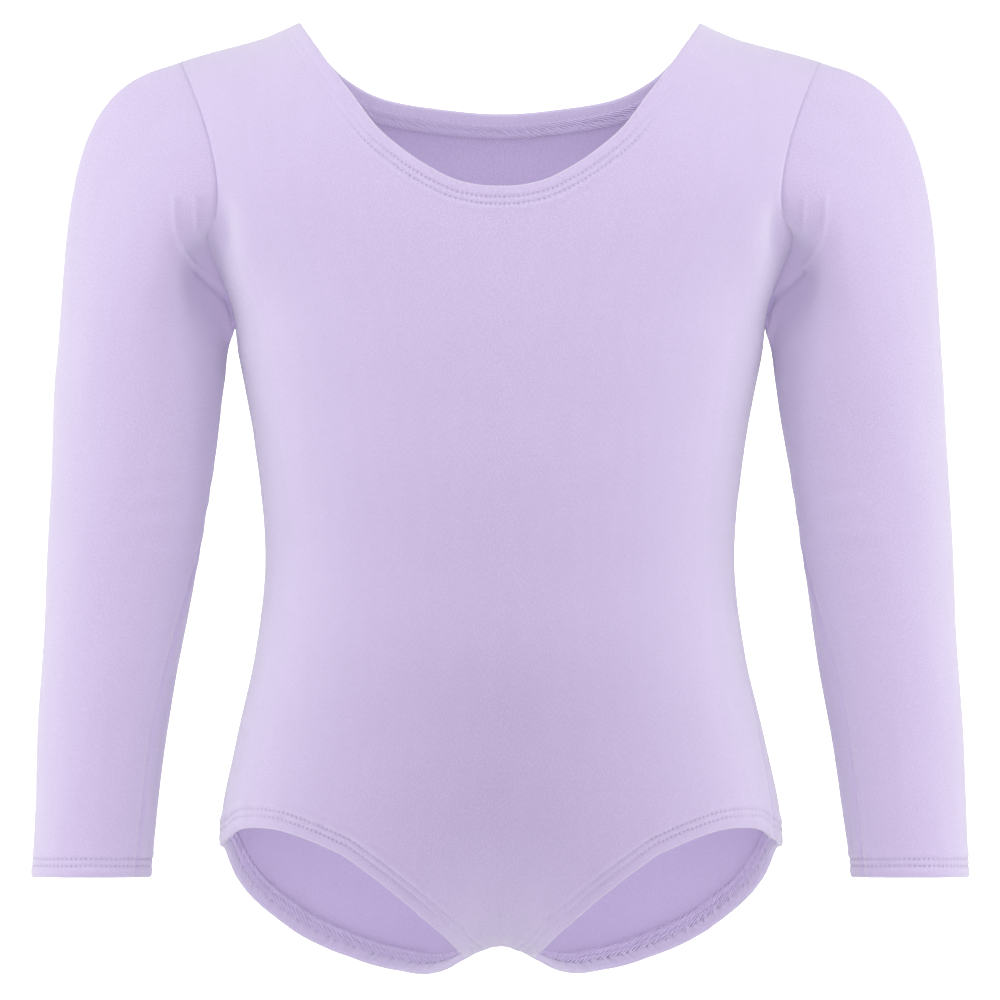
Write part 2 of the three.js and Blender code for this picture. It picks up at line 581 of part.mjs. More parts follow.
/** The shoulder seam's allowances, from clear of the armhole seam to clear of the neck hem. */
function shoulderSeamRows(front, back) {
  const first = SIDE_ROWS + ARMHOLE_ROWS;
  const half = SEAM_ALLOWANCE_WIDTH / 2;
  const last = ROWS - 1;
  const spots = (i) => {
    const middle = between(front[i][COLUMNS], back[i][COLUMNS], 0.5);
    const lean = (rows) => {
      const [edge, inner] = [rows[i][COLUMNS], rows[i][COLUMNS - 1]];
      const along = front[last][COLUMNS].point.clone().sub(front[first][COLUMNS].point).normalize();
      const away = inner.point.clone().sub(edge.point);
      away.addScaledVector(along, -away.dot(along)).normalize();
      return { point: edge.point.clone().addScaledVector(away, half), normal: edge.normal.clone() };
    };
    return [lean(front), middle, lean(back)];
  };
  const rows = Array.from({ length: last - first + 1 }, (_, n) => spots(first + n));
  const clear = (SEAM_ALLOWANCE_WIDTH + 2) / rows[0][1].point.distanceTo(rows[1][1].point);
  rows[0] = rows[0].map((spot, k) => between(spot, rows[1][k], clear));
  const end = rows.length - 1;
  rows[end] = rows[end].map((spot, k) => between(spot, rows[end - 1][k], 0.04));
  return rows;
}

/** One length of the sleeve with the allowances of its underarm seam along the first `seamRows` rows. */
function addSleeveLength(name, rows, clearTop, clearFoot, seamRows = rows.length) {
  addPair(`sleeve_${name}`, [rows], ...CLOTH, COLOURS.jersey);
  const middle = AROUND / 2;
  const half = SEAM_ALLOWANCE_WIDTH / 2;
  const seam = rows.slice(0, seamRows).map((row) => {
    const aside = (k) => between(row[middle], row[k], half / row[middle].point.distanceTo(row[k].point));
    return [aside(middle - 1), row[middle], aside(middle + 1)];
  });
  const trim = (i, next, distance) => {
    const share = distance / seam[i][1].point.distanceTo(seam[next][1].point);
    seam[i] = seam[i].map((spot, k) => between(spot, seam[next][k], share));
  };
  const last = seam.length - 1;
  if (clearTop) trim(0, 1, clearTop);
  if (clearFoot) trim(last, last - 1, clearFoot);
  addPair(`sleeve_seam_${name}`, [seam], ...ALLOWANCE_LAYER, COLOURS.thread);
}

function addSleeves(armhole) {
  const [head, upper, elbow, lower] = sleeveLengths(armhole);
  addSleeveLength("cap", head, 0.5, 0);
  addSleeveLength("upper", upper, 0, 0);
  addSleeveLength("elbow", elbow, 0, 0);
  addSleeveLength("lower", lower, 0, LAYER_GAP, lower.length - 1);
  const [inner, edge] = lower.slice(-2);
  const cuff = { edge, inner, edgeLast: true };
  hem("cuff", [cuff], false, (name, patches, layer, colour) => addPair(name, patches, ...layer, colour));
}

const front = panelHalf(false);
const back = panelHalf(true);
const armhole = armholeRing(front, back);
addPanels(front, back);
addNeckHem(front, back);
addLegHems(front, back);
addCrotch(front, back);
addBodySeams(front, back);
addSleeves(armhole);

export default group;
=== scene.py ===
"""A child's long-sleeved gymnastics leotard in pale jersey, worn in shape as if on an unseen body."""

import logging
import math
from dataclasses import dataclass, field
from enum import Enum
from typing import Callable, Sequence

import bmesh
import bpy
import numpy as np
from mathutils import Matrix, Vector


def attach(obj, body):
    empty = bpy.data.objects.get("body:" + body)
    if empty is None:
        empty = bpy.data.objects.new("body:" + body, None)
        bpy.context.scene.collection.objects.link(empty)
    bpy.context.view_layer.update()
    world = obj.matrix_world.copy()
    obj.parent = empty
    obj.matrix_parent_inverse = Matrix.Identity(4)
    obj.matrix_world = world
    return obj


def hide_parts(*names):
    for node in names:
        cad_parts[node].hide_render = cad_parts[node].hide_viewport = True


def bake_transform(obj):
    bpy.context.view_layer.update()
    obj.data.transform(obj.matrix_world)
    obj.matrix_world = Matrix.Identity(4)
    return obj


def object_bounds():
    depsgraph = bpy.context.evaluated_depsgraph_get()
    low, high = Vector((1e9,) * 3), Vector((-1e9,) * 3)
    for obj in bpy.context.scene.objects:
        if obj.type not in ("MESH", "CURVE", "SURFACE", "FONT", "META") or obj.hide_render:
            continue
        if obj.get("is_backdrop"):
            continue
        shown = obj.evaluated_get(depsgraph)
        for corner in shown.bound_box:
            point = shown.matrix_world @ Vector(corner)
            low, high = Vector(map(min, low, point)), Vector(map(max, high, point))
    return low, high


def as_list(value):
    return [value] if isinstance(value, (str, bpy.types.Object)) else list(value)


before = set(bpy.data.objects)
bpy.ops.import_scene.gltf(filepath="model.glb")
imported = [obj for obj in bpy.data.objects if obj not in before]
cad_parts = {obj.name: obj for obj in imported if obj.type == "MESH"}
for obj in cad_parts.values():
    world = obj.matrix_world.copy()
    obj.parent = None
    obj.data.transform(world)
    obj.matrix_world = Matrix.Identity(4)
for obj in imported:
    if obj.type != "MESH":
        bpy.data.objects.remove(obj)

log = logging.getLogger("leotard")

Pair = tuple[float, float]
Colour = tuple[float, float, float]
Array = np.ndarray

MM = 0.001
CLOTH = 0.9  # thickness of the jersey
STAND = 0.45  # the cloth's outer face stands this far off the body's form
NO_HEM = 99.0  # hem distance of cloth away from every hem
INNER = 30.0  # hem distance read by inner layers, which lie flat
HEM_STEPS = np.array([0, 0.35, 0.8, 1.4, 2, 2.7, 3.4, 3.9, 4.3, 4.7, 5.1, 5.6, 6.2, 6.8, 7.2, 7.6, 8, 8.5, 9.1,
                      9.7, 10.4, 11.2, 12])  # distances of the cloth's rows from a hemmed edge


class Side(Enum):
    """The wearer's left is +X and the right is -X."""

    LEFT = 1
    RIGHT = -1

    @property
    def word(self) -> str:
        """The side's name as the bodies and nodes spell it."""
        return self.name.lower()


class Face(Enum):
    """The front or the back of the trunk."""

    FRONT = 0
    BACK = 180


# ---- Curves ---------------------------------------------------------------------------------------------


class SmoothLine:
    """A smooth line through (position, value) pairs given in rising order, level beyond its ends."""

    def __init__(self, pairs: Sequence[Pair]) -> None:
        """Keeps the pairs and works out the slope at each.

        Args:
            pairs: The points that the line passes.
        """
        self.at = np.array([p[0] for p in pairs], float)
        self.value = np.array([p[1] for p in pairs], float)
        before = np.concatenate([[0], np.arange(len(pairs) - 1)])
        after = np.concatenate([np.arange(1, len(pairs)), [len(pairs) - 1]])
        self.slope = (self.value[after] - self.value[before]) / (self.at[after] - self.at[before])

    def __call__(self, position: Array | float) -> Array:
        """The line's value.

        Args:
            position: Where to read it.

        Returns:
            The value at each position.
        """
        x = np.clip(np.asarray(position, float), self.at[0], self.at[-1])
        i = np.clip(np.searchsorted(self.at, x, side="right") - 1, 0, len(self.at) - 2)
        span = self.at[i + 1] - self.at[i]
        t = (x - self.at[i]) / span
        return hermite(self.value[i], self.value[i + 1], self.slope[i] * span, self.slope[i + 1] * span, t)


def hermite(start: Array, end: Array, leave: Array, arrive: Array, t: Array) -> Array:
    """A cubic between two values with given slopes at its ends.

    Args:
        start: Value at t = 0.
        end: Value at t = 1.
        leave: Slope at t = 0.
        arrive: Slope at t = 1.
        t: Share of the way.

    Returns:
        The cubic's value.
    """
    t2, t3 = t * t, t * t * t
    values = start * (2 * t3 - 3 * t2 + 1) + end * (3 * t2 - 2 * t3)
    return values + leave * (t3 - 2 * t2 + t) + arrive * (t3 - t2)


def spline(points: Array, per_span: int = 24) -> Array:
    """A fine Catmull-Rom polyline through points.

    Args:
        points: The points, in order.
        per_span: Steps between neighbouring points.

    Returns:
        The polyline's points.
    """
    p = np.asarray(points, float)
    padded = np.vstack([2 * p[0] - p[1], p, 2 * p[-1] - p[-2]])
    t = np.linspace(0, 1, per_span, endpoint=False)[:, None]
    slopes = (padded[2:] - padded[:-2]) / 2
    spans = [hermite(p[i], p[i + 1], slopes[i], slopes[i + 1], t) for i in range(len(p) - 1)]
    return np.vstack([*spans, p[-1:]])


def smoothed(line: Array, rounds: int) -> Array:
    """A polyline with its small corners rounded off and its ends kept."""
    line = line.copy()
    for _ in range(rounds):
        line[1:-1] = (line[:-2] + 2 * line[1:-1] + line[2:]) / 4
    return line


def lengths(points: Array) -> Array:
    """Running length along a polyline.

    Args:
        points: The polyline.

    Returns:
        The length from its start to each point.
    """
    steps = np.linalg.norm(np.diff(points, axis=0), axis=1)
    return np.concatenate([[0.0], np.cumsum(steps)])


def resample(values: Array, along: Array, shares: Array) -> Array:
    """Reads a polyline at shares of its length.

    Args:
        values: What is carried along it, one row a point.
        along: Running length at each point.
        shares: Where to read, from 0 to 1.

    Returns:
        One row for each share.
    """
    at = np.asarray(shares) * along[-1]
    return np.stack([np.interp(at, along, values[:, c]) for c in range(values.shape[1])], axis=1)


def bell(distance: Array, width: float) -> Array:
    """A smooth bump that is 1 at no distance.

    Args:
        distance: Distance from its middle.
        width: Distance at which it has fallen to about a third.

    Returns:
        Its height.
    """
    return np.exp(-((distance / width) ** 2))


def ease(value: Array, low: float, high: float) -> Array:
    """Rises smoothly from 0 at `low` to 1 at `high`.

    Args:
        value: What is measured.
        low: Where the rise starts.
        high: Where it ends.

    Returns:
        The share risen.
    """
    t = np.clip((value - low) / (high - low), 0, 1)
    return t * t * (3 - 2 * t)


def nearest(points: Array, line: Array) -> Array:
    """Distance from each point to the nearest point of a line.

    Args:
        points: Points, in any grid shape, with x, y, z last.
        line: A fine polyline.

    Returns:
        The distances, in the grid's shape.
    """
    flat = points.reshape(-1, 3)
    best = np.full(len(flat), 1e9)
    for start in range(0, len(line), 64):
        part = line[start : start + 64]
        best = np.minimum(best, np.sqrt(((flat[:, None] - part[None]) ** 2).sum(-1)).min(1))
    return best.reshape(points.shape[:-1])


@dataclass(frozen=True)
class Ripple:
    """Soft, uneven undulation made of a few fixed waves.

    Attributes:
        seed: Which set of waves.
        length: Usual wavelength, in millimetres.
        stretch: How much longer the waves are along X, Y and Z.
    """

    seed: int
    length: float
    stretch: tuple[float, float, float] = (1, 1, 1)

    def __call__(self, points: Array) -> Array:
        """The undulation at points, between about -1 and 1."""
        rng = np.random.default_rng(self.seed)
        total = np.zeros(points.shape[:-1])
        for _ in range(9):
            way = rng.normal(size=3)
            way *= rng.uniform(0.7, 1.5) / np.linalg.norm(way) / np.array(self.stretch)
            total += np.sin(points @ way * 2 * math.pi / self.length + rng.uniform(0, 2 * math.pi))
        return total / 4


# ---- The body's form ------------------------------------------------------------------------------------


@dataclass(frozen=True)
class Stitching:
    """Where the needle rows run, in millimetres.

    Attributes:
        needle_row: Distance of the outer row from the edge.
        needle_gap: Distance between the two rows.
        stitch_pitch: Length of one stitch.
    """

    needle_row: float = 4.4
    needle_gap: float = 3.2
    stitch_pitch: float = 2.05


@dataclass
class BodyForm:
    """The surface that the cloth lies on, in millimetres, by angle round the body and length up the cloth."""

    shoulder_turn: float = -100
    seat_turn: float = -330
    roof_span: float = 150
    seat_span: float = 130
    section_power: float = 2.3
    crotch_level: float = -416
    crotch_drop: float = 31
    crotch_width: float = 24
    crotch_rate: float = 0.45
    half_width: SmoothLine = field(default_factory=lambda: SmoothLine([
        (-440, 127), (-362, 126), (-323, 118.5), (-283, 109.5), (-240, 105), (-190, 110),
        (-150, 117.5), (-128, 121), (-103, 132), (-70, 149), (-20, 152)]))
    front_depth: SmoothLine = field(default_factory=lambda: SmoothLine([
        (-430, 58), (-340, 62), (-290, 63), (-242, 59), (-190, 62), (-130, 66), (-40, 62)]))
    back_depth: SmoothLine = field(default_factory=lambda: SmoothLine([
        (-430, 68), (-350, 70), (-300, 62), (-242, 54), (-190, 60), (-130, 64), (-40, 62)]))
    shoulder_line: SmoothLine = field(default_factory=lambda: SmoothLine([
        (0, 36), (50, 18), (75, 7), (90.5, -1), (105, -7.5), (118, -11.3), (131, -14.6), (143, -18), (155, -22),
        (175, -36)]))

    @property
    def trunk_span(self) -> float:
        """Length of the straight part between the two turns."""
        return self.shoulder_turn - self.seat_turn

    def crotch_line(self, x: Array) -> Array:
        """Level of the crotch strip's underside at a distance from the middle."""
        rise = np.exp(-self.crotch_rate * (x / self.crotch_width) ** 2)
        return self.crotch_level - self.crotch_drop * (1 - rise)

    def level_at(self, x: Array, up: Array) -> tuple[Array, Array]:
        """Level and closing angle at a length up the cloth.

        Args:
            x: Distance from the middle.
            up: Length above the shoulder turn, negative below it.

        Returns:
            The level and the angle by which the surface has turned inwards.
        """
        roof = np.clip(up / self.roof_span, 0, None) * math.pi / 2
        seat = np.clip((-self.trunk_span - up) / self.seat_span, 0, None) * math.pi / 2
        upper = self.shoulder_turn + (self.shoulder_line(x) - self.shoulder_turn) * np.sin(roof)
        lower = self.seat_turn + (self.crotch_line(x) - self.seat_turn) * np.sin(seat)
        middle = self.shoulder_turn + up
        level = np.where(up > 0, upper, np.where(up > -self.trunk_span, middle, lower))
        return level, np.where(up > 0, roof, seat)

    def point(self, place: Array) -> Array:
        """Points of the form.

        Args:
            place: Angle round the body (0 front middle, 180 back middle) and length up, last.

        Returns:
            x, y, z in millimetres.
        """
        angle = np.radians(place[..., 0])
        power = 2 / self.section_power
        spread = np.sign(np.sin(angle)) * np.abs(np.sin(angle)) ** power
        x = spread * self.half_width(self.seat_turn)
        for _ in range(12):
            level, turn = self.level_at(np.abs(x), place[..., 1])
            x = spread * self.half_width(level)
        ahead = np.cos(angle)
        depth = np.where(ahead > 0, self.front_depth(level), self.back_depth(level))
        y = -np.sign(ahead) * np.abs(ahead) ** power * depth * np.cos(turn)
        return np.stack([x, y, level], axis=-1)

    def tangents(self, place: Array) -> tuple[Array, Array]:
        """The ways the surface runs per degree round and per millimetre up."""
        step = 0.05
        ways = []
        for offset in ((step, 0.0), (0.0, step)):
            ways.append((self.point(place + offset) - self.point(place - np.array(offset))) / (2 * step))
        return ways[0], ways[1]

    def normal(self, place: Array) -> Array:
        """Outward normals."""
        across, upward = self.tangents(place)
        n = np.cross(across, upward)
        return n / np.linalg.norm(n, axis=-1, keepdims=True)

    def place_of(self, x: float, level: float, face: Face) -> Array:
        """The place of a point given by its distance from the middle and its level.

        Args:
            x: Distance from the middle.
            level: The point's z.
            face: Front or back.

        Returns:
            The angle in degrees and the length up the cloth.
        """
        side = min(1.0, x / float(self.half_width(level))) ** (self.section_power / 2)
        angle = math.degrees(math.asin(side))
        up = level - self.shoulder_turn
        if level > self.shoulder_turn:
            top = float(self.shoulder_line(x))
            climb = min(1, (level - self.shoulder_turn) / (top - self.shoulder_turn))
            up = self.roof_span * math.asin(climb) * 2 / math.pi
        elif level < self.seat_turn:
            foot = float(self.crotch_line(np.array(x)))
            fall = min(1, (self.seat_turn - level) / (self.seat_turn - foot))
            up = -self.trunk_span - self.seat_span * math.asin(fall) * 2 / math.pi
        return np.array([180 - angle if face is Face.BACK else angle, up])

    def step(self, place: Array, way: Array) -> Array:
        """How a place changes along a direction in space.

        Args:
            place: Places.
            way: Directions, lying in the surface.

        Returns:
            The change of place for each millimetre.
        """
        across, upward = self.tangents(place)
        aa, uu, au = (across**2).sum(-1), (upward**2).sum(-1), (across * upward).sum(-1)
        wa, wu = (across * way).sum(-1), (upward * way).sum(-1)
        scale = aa * uu - au**2
        return np.stack([(wa * uu - wu * au) / scale, (wu * aa - wa * au) / scale], axis=-1)


# ---- Cut lines ------------------------------------------------------------------------------------------


@dataclass(frozen=True)
class PanelCut:
    """The edges of half a panel: (distance from the middle, level) pairs from the middle outwards."""

    face: Face
    neck: tuple[Pair, ...]
    armhole: tuple[Pair, ...]
    leg: tuple[Pair, ...]


FRONT_CUT = PanelCut(
    Face.FRONT,
    neck=((0, -75.2), (9.5, -74.7), (21, -72), (33, -65.9), (44, -58.5), (56, -48), (67, -33.5), (75, -23)),
    armhole=((130, -103), (127.5, -88), (126.3, -74), (129.4, -56), (134, -41), (139, -28)),
    leg=((14.9, -419.4), (24.3, -410.9), (38, -398.7), (52.7, -386.6), (67, -376), (74, -372), (87.3, -366.3),
         (101.7, -362), (116, -361.8)),
)
BACK_CUT = PanelCut(
    Face.BACK,
    neck=((0, -41.4), (21, -40), (50, -35.4), (67, -27.6), (79, -17)),
    armhole=((131, -103), (130, -88), (130.5, -74), (132.5, -56), (136, -41), (140, -28)),
    leg=((24, -426), (31.5, -428), (45, -427), (63, -422.6), (76.5, -417.6), (90, -410.9), (101, -403),
         (112.5, -392.9), (119, -383.9), (124.0, -372)),
)


class EdgeBand:
    """A strip of the form that follows an edge, read by share along it and distance in from it."""

    def __init__(self, form: BodyForm, line: Array, shares: Array, inward: float,
                 ends: tuple[Array, Array]) -> None:
        """Lays stations along the edge and works out the way in from each.

        Args:
            form: The body's form.
            line: Places along the edge, finely spaced.
            shares: Where the stations are, as shares of the edge's length.
            inward: 1 or -1: which side of the edge, seen from outside, is cloth.
            ends: The way in, in space, at the edge's first and last point.
        """
        self.form = form
        along = lengths(form.point(line))
        self.length = float(along[-1])
        self.places = resample(line, along, shares)
        self.along = shares * self.length
        points = form.point(self.places)
        tangent = np.gradient(points, self.along, axis=0)
        tangent /= np.linalg.norm(tangent, axis=-1, keepdims=True)
        way = inward * np.cross(form.normal(self.places), tangent)
        for end, at in ((ends[0], 0.0), (ends[1], self.length)):
            weight = bell(self.along - at, 14.0)[:, None]
            way = way * (1 - weight) + end * weight
        way /= np.linalg.norm(way, axis=-1, keepdims=True)
        self.steps = form.step(self.places, way)

    def at(self, distance: float | Array) -> Array:
        """Places at a distance in from the edge."""
        return self.places + self.steps * np.asarray(distance)[..., None]


class HalfPanel:
    """The left half of the front or back panel as rows of places, from the leg edge to the neck edge."""

    CROTCH_HALF = 15.0
    SEAM_ROWS = 24
    UNDERARM = (-138.0, 84.0)
    SIDE = ((-185, 86), (-240, 85), (-300, 80.5), (-340, 76.5))
    FOOT = (-366.0, 75.0)
    NECK_POINT = 90.5
    SHOULDER_POINT = 143.5

    def __init__(self, form: BodyForm, cut: PanelCut) -> None:
        """Builds the edges and fills the panel between them.

        Args:
            form: The body's form.
            cut: The panel's edges.
        """
        self.form, self.cut = form, cut
        self.columns = np.concatenate([np.linspace(0, 0.958, 78), 1 - np.array(
            [0.036, 0.030, 0.024, 0.019, 0.0145, 0.0105, 0.007, 0.004, 0.002, 0.0])])
        self._edges()
        self._fill()

    def _place(self, pair: Pair) -> Array:
        """The place of a (distance from the middle, level) pair on this panel."""
        return self.form.place_of(pair[0], pair[1], self.cut.face)

    def _edges(self) -> None:
        """Works out the leg, neck, side and middle lines."""
        form, face = self.form, self.cut.face
        middle = float(face.value)
        inner = 1.0 if face is Face.BACK else -1.0
        crotch_up, roof_up = -form.trunk_span - form.seat_span, form.roof_span
        crotch = np.array([middle - inner * self._crotch_angle(self.CROTCH_HALF), crotch_up])
        foot = np.array([self.FOOT[1], self._place((float(form.half_width(self.FOOT[0])), self.FOOT[0]))[1]])
        underarm = np.array([self.UNDERARM[1], self.UNDERARM[0] - form.shoulder_turn])
        top = (self.SHOULDER_POINT, float(form.shoulder_line(self.SHOULDER_POINT)))
        neck_top = (self.NECK_POINT, float(form.shoulder_line(self.NECK_POINT)))
        shoulder = np.array([self._place(top)[0], roof_up])
        neck_point = np.array([self._place(neck_top)[0], roof_up])
        neck_line = self._drawn([*self.cut.neck, neck_top], True)
        neck_line[-1] = neck_point
        leg_points = [crotch, *(self._place(p) for p in self.cut.leg)]
        if face is Face.BACK:
            leg_points.append(np.array([92.0, foot[1] - 3]))
        leg_line = spline(np.array([*leg_points, foot]))
        self.side_line = spline(np.array(
            [foot, *([angle, self._level_up(level)] for level, angle in reversed(self.SIDE)), underarm]))
        upper_armhole = self._drawn([*self.cut.armhole[1:], top], False)
        upper_armhole[-1] = shoulder
        lower_armhole = spline(np.array([underarm, *(self._place(p) for p in self.cut.armhole[:3])]))[:-24]
        self.armhole_line = smoothed(np.vstack([lower_armhole, upper_armhole]), 10)
        self.shoulder_line = np.linspace(shoulder, neck_point, 60)
        self.seam_points = form.point(np.vstack([self.side_line, self.shoulder_line]))
        self.armhole_points = form.point(self.armhole_line)
        turn = 1.0 if face is Face.FRONT else -1.0

        def way(line: Array, i: int, j: int) -> Array:
            """Direction in space from one point of a line to another."""
            points = form.point(line[[i, j]])
            return (points[1] - points[0]) / np.linalg.norm(points[1] - points[0])

        down = way(np.array([[middle, neck_line[0][1]], [middle, neck_line[0][1] - 2]]), 0, 1)
        to_middle = way(np.array([crotch, [middle, crotch_up]]), 0, 1)
        self.leg = EdgeBand(form, leg_line, self.columns, turn, (to_middle, way(self.side_line, 0, 4)))
        self.neck = EdgeBand(form, neck_line, self.columns, -turn, (down, way(self.shoulder_line, -1, -4)))

    def _drawn(self, pairs: Sequence[Pair], mirrored: bool) -> Array:
        """A line drawn through pairs as seen from the front, as places.

        Args:
            pairs: (distance from the middle, level) pairs.
            mirrored: Whether the line crosses the middle at its first pair.

        Returns:
            Places along the line.
        """
        flat = np.array(pairs, float)
        start = len(pairs) - 1 if mirrored else 0
        if mirrored:
            flat = np.vstack([flat[1:][::-1] * [-1, 1], flat])
        return np.array([self._place((max(x, 0.0), level)) for x, level in spline(flat)[24 * start :]])

    def _crotch_angle(self, x: float) -> float:
        """Angle round the body at a distance from the middle of the crotch."""
        return math.degrees(math.asin((x / float(self.form.half_width(-420))) ** (self.form.section_power / 2)))

    def _level_up(self, level: float) -> float:
        """Length up the cloth at a level."""
        return float(self._place((0.0, level))[1])

    def _corner_line(self, parts: list[Array], counts: list[int]) -> Array:
        """Joins lines with a given number of steps in each."""
        rows = [parts[0][:1]]
        for part, count in zip(parts, counts):
            along = lengths(self.form.point(part))
            rows.append(resample(part, along, np.linspace(0, 1, count + 1))[1:])
        return np.vstack(rows)

    def _fill(self) -> None:
        """Fills the panel between the two edge bands."""
        form = self.form
        middle = float(self.cut.face.value)
        leg, neck = self.leg.at(HEM_STEPS[-1]), self.neck.at(HEM_STEPS[-1])
        crotch_middle = np.array([middle, -form.trunk_span - form.seat_span])
        side = self.side_line[self.side_line[:, 1] > leg[-1][1] + 0.5]
        side = np.vstack([leg[-1], side])
        shoulder = np.linspace(self.shoulder_line[0], neck[-1], 30)
        right = self._corner_line([side, self.armhole_line, shoulder], [104, 90, 22])
        heights = [-114.0 if self.cut.face is Face.FRONT else -106.0, neck[0][1] - 32]

        def column(start: float, end: float) -> Array:
            """A stretch of the middle line."""
            return np.linspace([middle, start], [middle, end], 30)

        left = self._corner_line(
            [np.linspace(leg[0], crotch_middle, 4), column(crotch_middle[1], heights[0]),
             column(heights[0], heights[1]), column(heights[1], neck[0][1])], [2, 102, 90, 22])
        left[-1] = neck[0]
        v = np.linspace(0, 1, len(left))[:, None, None]
        u = self.columns[None, :, None]
        corners = ((1 - u) * (1 - v) * leg[0] + u * (1 - v) * leg[-1] + (1 - u) * v * neck[0] + u * v * neck[-1])
        inside = (1 - u) * left[:, None] + u * right[:, None] + (1 - v) * leg[None] + v * neck[None] - corners
        low = [self.leg.at(d) for d in HEM_STEPS[:-1]]
        high = [self.neck.at(d) for d in HEM_STEPS[:-1][::-1]]
        self.rows = np.concatenate([np.array(low), inside, np.array(high)])
        shape = self.rows.shape[:2]
        self.hem = np.full(shape, NO_HEM)
        self.hem_along = np.zeros(shape)
        n = len(HEM_STEPS) - 1
        self.hem[: n + 1] = HEM_STEPS[:, None]
        self.hem[-n - 1 :] = HEM_STEPS[::-1, None]
        self.hem_along[: n + 1] = self.leg.along
        self.hem_along[-n - 1 :] = self.neck.along
        self.is_leg = np.zeros(shape, bool)
        self.is_leg[: shape[0] // 2] = True


# ---- The worn cloth -------------------------------------------------------------------------------------


def marked(points: Array, leg: Array | bool) -> Array:
    """How plainly the needle rows show: not at all on the shoulders, and softly towards the crotch."""
    from_middle = np.abs(points[..., 0])
    on_leg = 0.15 + 0.85 * ease(from_middle, 56, 74) * (1 - 0.7 * ease(from_middle, 96, 108))
    return np.where(leg, on_leg, ease(-points[..., 2], 42, 62))


def hem_profile(distance: Array) -> Array:
    """How a turned hem stands out: rounded at its edge, sunk at the needle rows, puffed beside them."""
    ridge = 0.34 * bell(distance - 2.1, 1.9) + 0.16 * bell(distance - 6.0, 0.8) + 0.34 * bell(distance - 9.7, 1.5)
    return ridge - 0.32 * (bell(distance - 4.4, 0.55) + bell(distance - 7.6, 0.55))


class TrunkCloth:
    """The two panels as worn: the form with its creases, hems and seams."""

    def __init__(self, form: BodyForm) -> None:
        """Lays out both half panels.

        Args:
            form: The body's form.
        """
        self.form = form
        self.halves = {Face.FRONT: HalfPanel(form, FRONT_CUT), Face.BACK: HalfPanel(form, BACK_CUT)}
        self.broad = Ripple(3, 85, (1, 1, 1.6))
        self.fine = Ripple(8, 17, (2.5, 1, 0.8))

    def relief(self, p: Array, face: Face, hem: Array, along: Array, leg: Array) -> Array:
        """How far the cloth stands out from the form.

        Args:
            p: Points of the form.
            face: Front or back panel.
            hem: Distance from the nearest hemmed edge.
            along: Length along that edge.
            leg: Whether the edge is a leg opening.

        Returns:
            The distance outwards at each point.
        """
        half = self.halves[face]
        x, z = np.abs(p[..., 0]), p[..., 2]
        out = 0.35 * self.broad(p) + 0.05 * self.fine(p)
        wave = np.sin(z * 2 * math.pi / 7.5 + 2.5 * self.broad(p * [1, 1, 2]))
        out = out + 0.04 * wave * bell(z + 215, 55) * bell(x, 75)
        out = out + hem_profile(hem) * (0.25 + 0.75 * ease(-z, 22, 55))
        gather = np.sin(along * 2 * math.pi / 9.5 + 2 * self.broad(p * 2))
        out = out + np.where(leg, 0.30 if face is Face.BACK else 0.12, 0.05) * gather * bell(hem - 7, 5)
        out = out - 0.6 * bell(nearest(p, half.armhole_points), 1.2) * (0.08 + 0.92 * ease(-z, 35, 90))
        out = out - 0.5 * bell(nearest(p, half.seam_points), 1.1) * ease(-z, 20, 60)
        if face is Face.FRONT:
            out = out - 3.1 * bell(x - 123.5, 4.5) * bell(z + 94, 12)
            out = out + 0.9 * bell(x - 113, 6) * bell(z + 112, 22)
        return out

    def spots(self, places: Array, face: Face, side: Side, fields: tuple[Array, Array, Array],
              out: float) -> Array:
        """Points of the worn cloth.

        Args:
            places: Places on the form.
            face: Front or back panel.
            side: The wearer's left or right half.
            fields: Hem distance, length along the hem and whether it is a leg hem.
            out: Distance from the cloth's outer face, negative inside it.

        Returns:
            The points in millimetres.
        """
        p, n = self.form.point(places), self.form.normal(places)
        rise = self.relief(p * [side.value, 1, 1], face, *fields)
        return (p + n * (rise + out + STAND)[..., None]) * [side.value, 1, 1]

    def layer(self, face: Face, out: float) -> Array:
        """All points of a panel at a distance from its outer face: the left half, then the right."""
        half = self.halves[face]
        fields = (half.hem, half.hem_along, half.is_leg)
        return np.vstack([self.spots(half.rows, face, side, fields, out).reshape(-1, 3) for side in Side])

    def grids(self, face: Face) -> list[Array]:
        """Point numbers of the two halves, which share the middle column above the crotch seam."""
        shape = self.halves[face].rows.shape[:2]
        left = np.arange(shape[0] * shape[1]).reshape(shape)
        right = left + left.size
        right[HalfPanel.SEAM_ROWS :, 0] = left[HalfPanel.SEAM_ROWS :, 0]
        return [left, right[:, ::-1]]

    def fields(self, face: Face) -> dict[str, Array]:
        """Hem distance and length along the hem for a whole panel."""
        half = self.halves[face]
        plain = marked(self.form.point(half.rows), half.is_leg)
        values = {"hem": half.hem, "along": half.hem_along, "marked": plain}
        return {name: np.tile(value.ravel(), 2) for name, value in values.items()}

    def flat(self, face: Face) -> Array:
        """Cloth coordinates of a whole panel in millimetres."""
        rows = self.halves[face].rows.reshape(-1, 2)
        across = np.radians(np.abs(rows[:, 0] - face.value)) * 118
        return np.vstack([np.stack([sign * across, rows[:, 1]], axis=-1) for sign in (1, -1)])


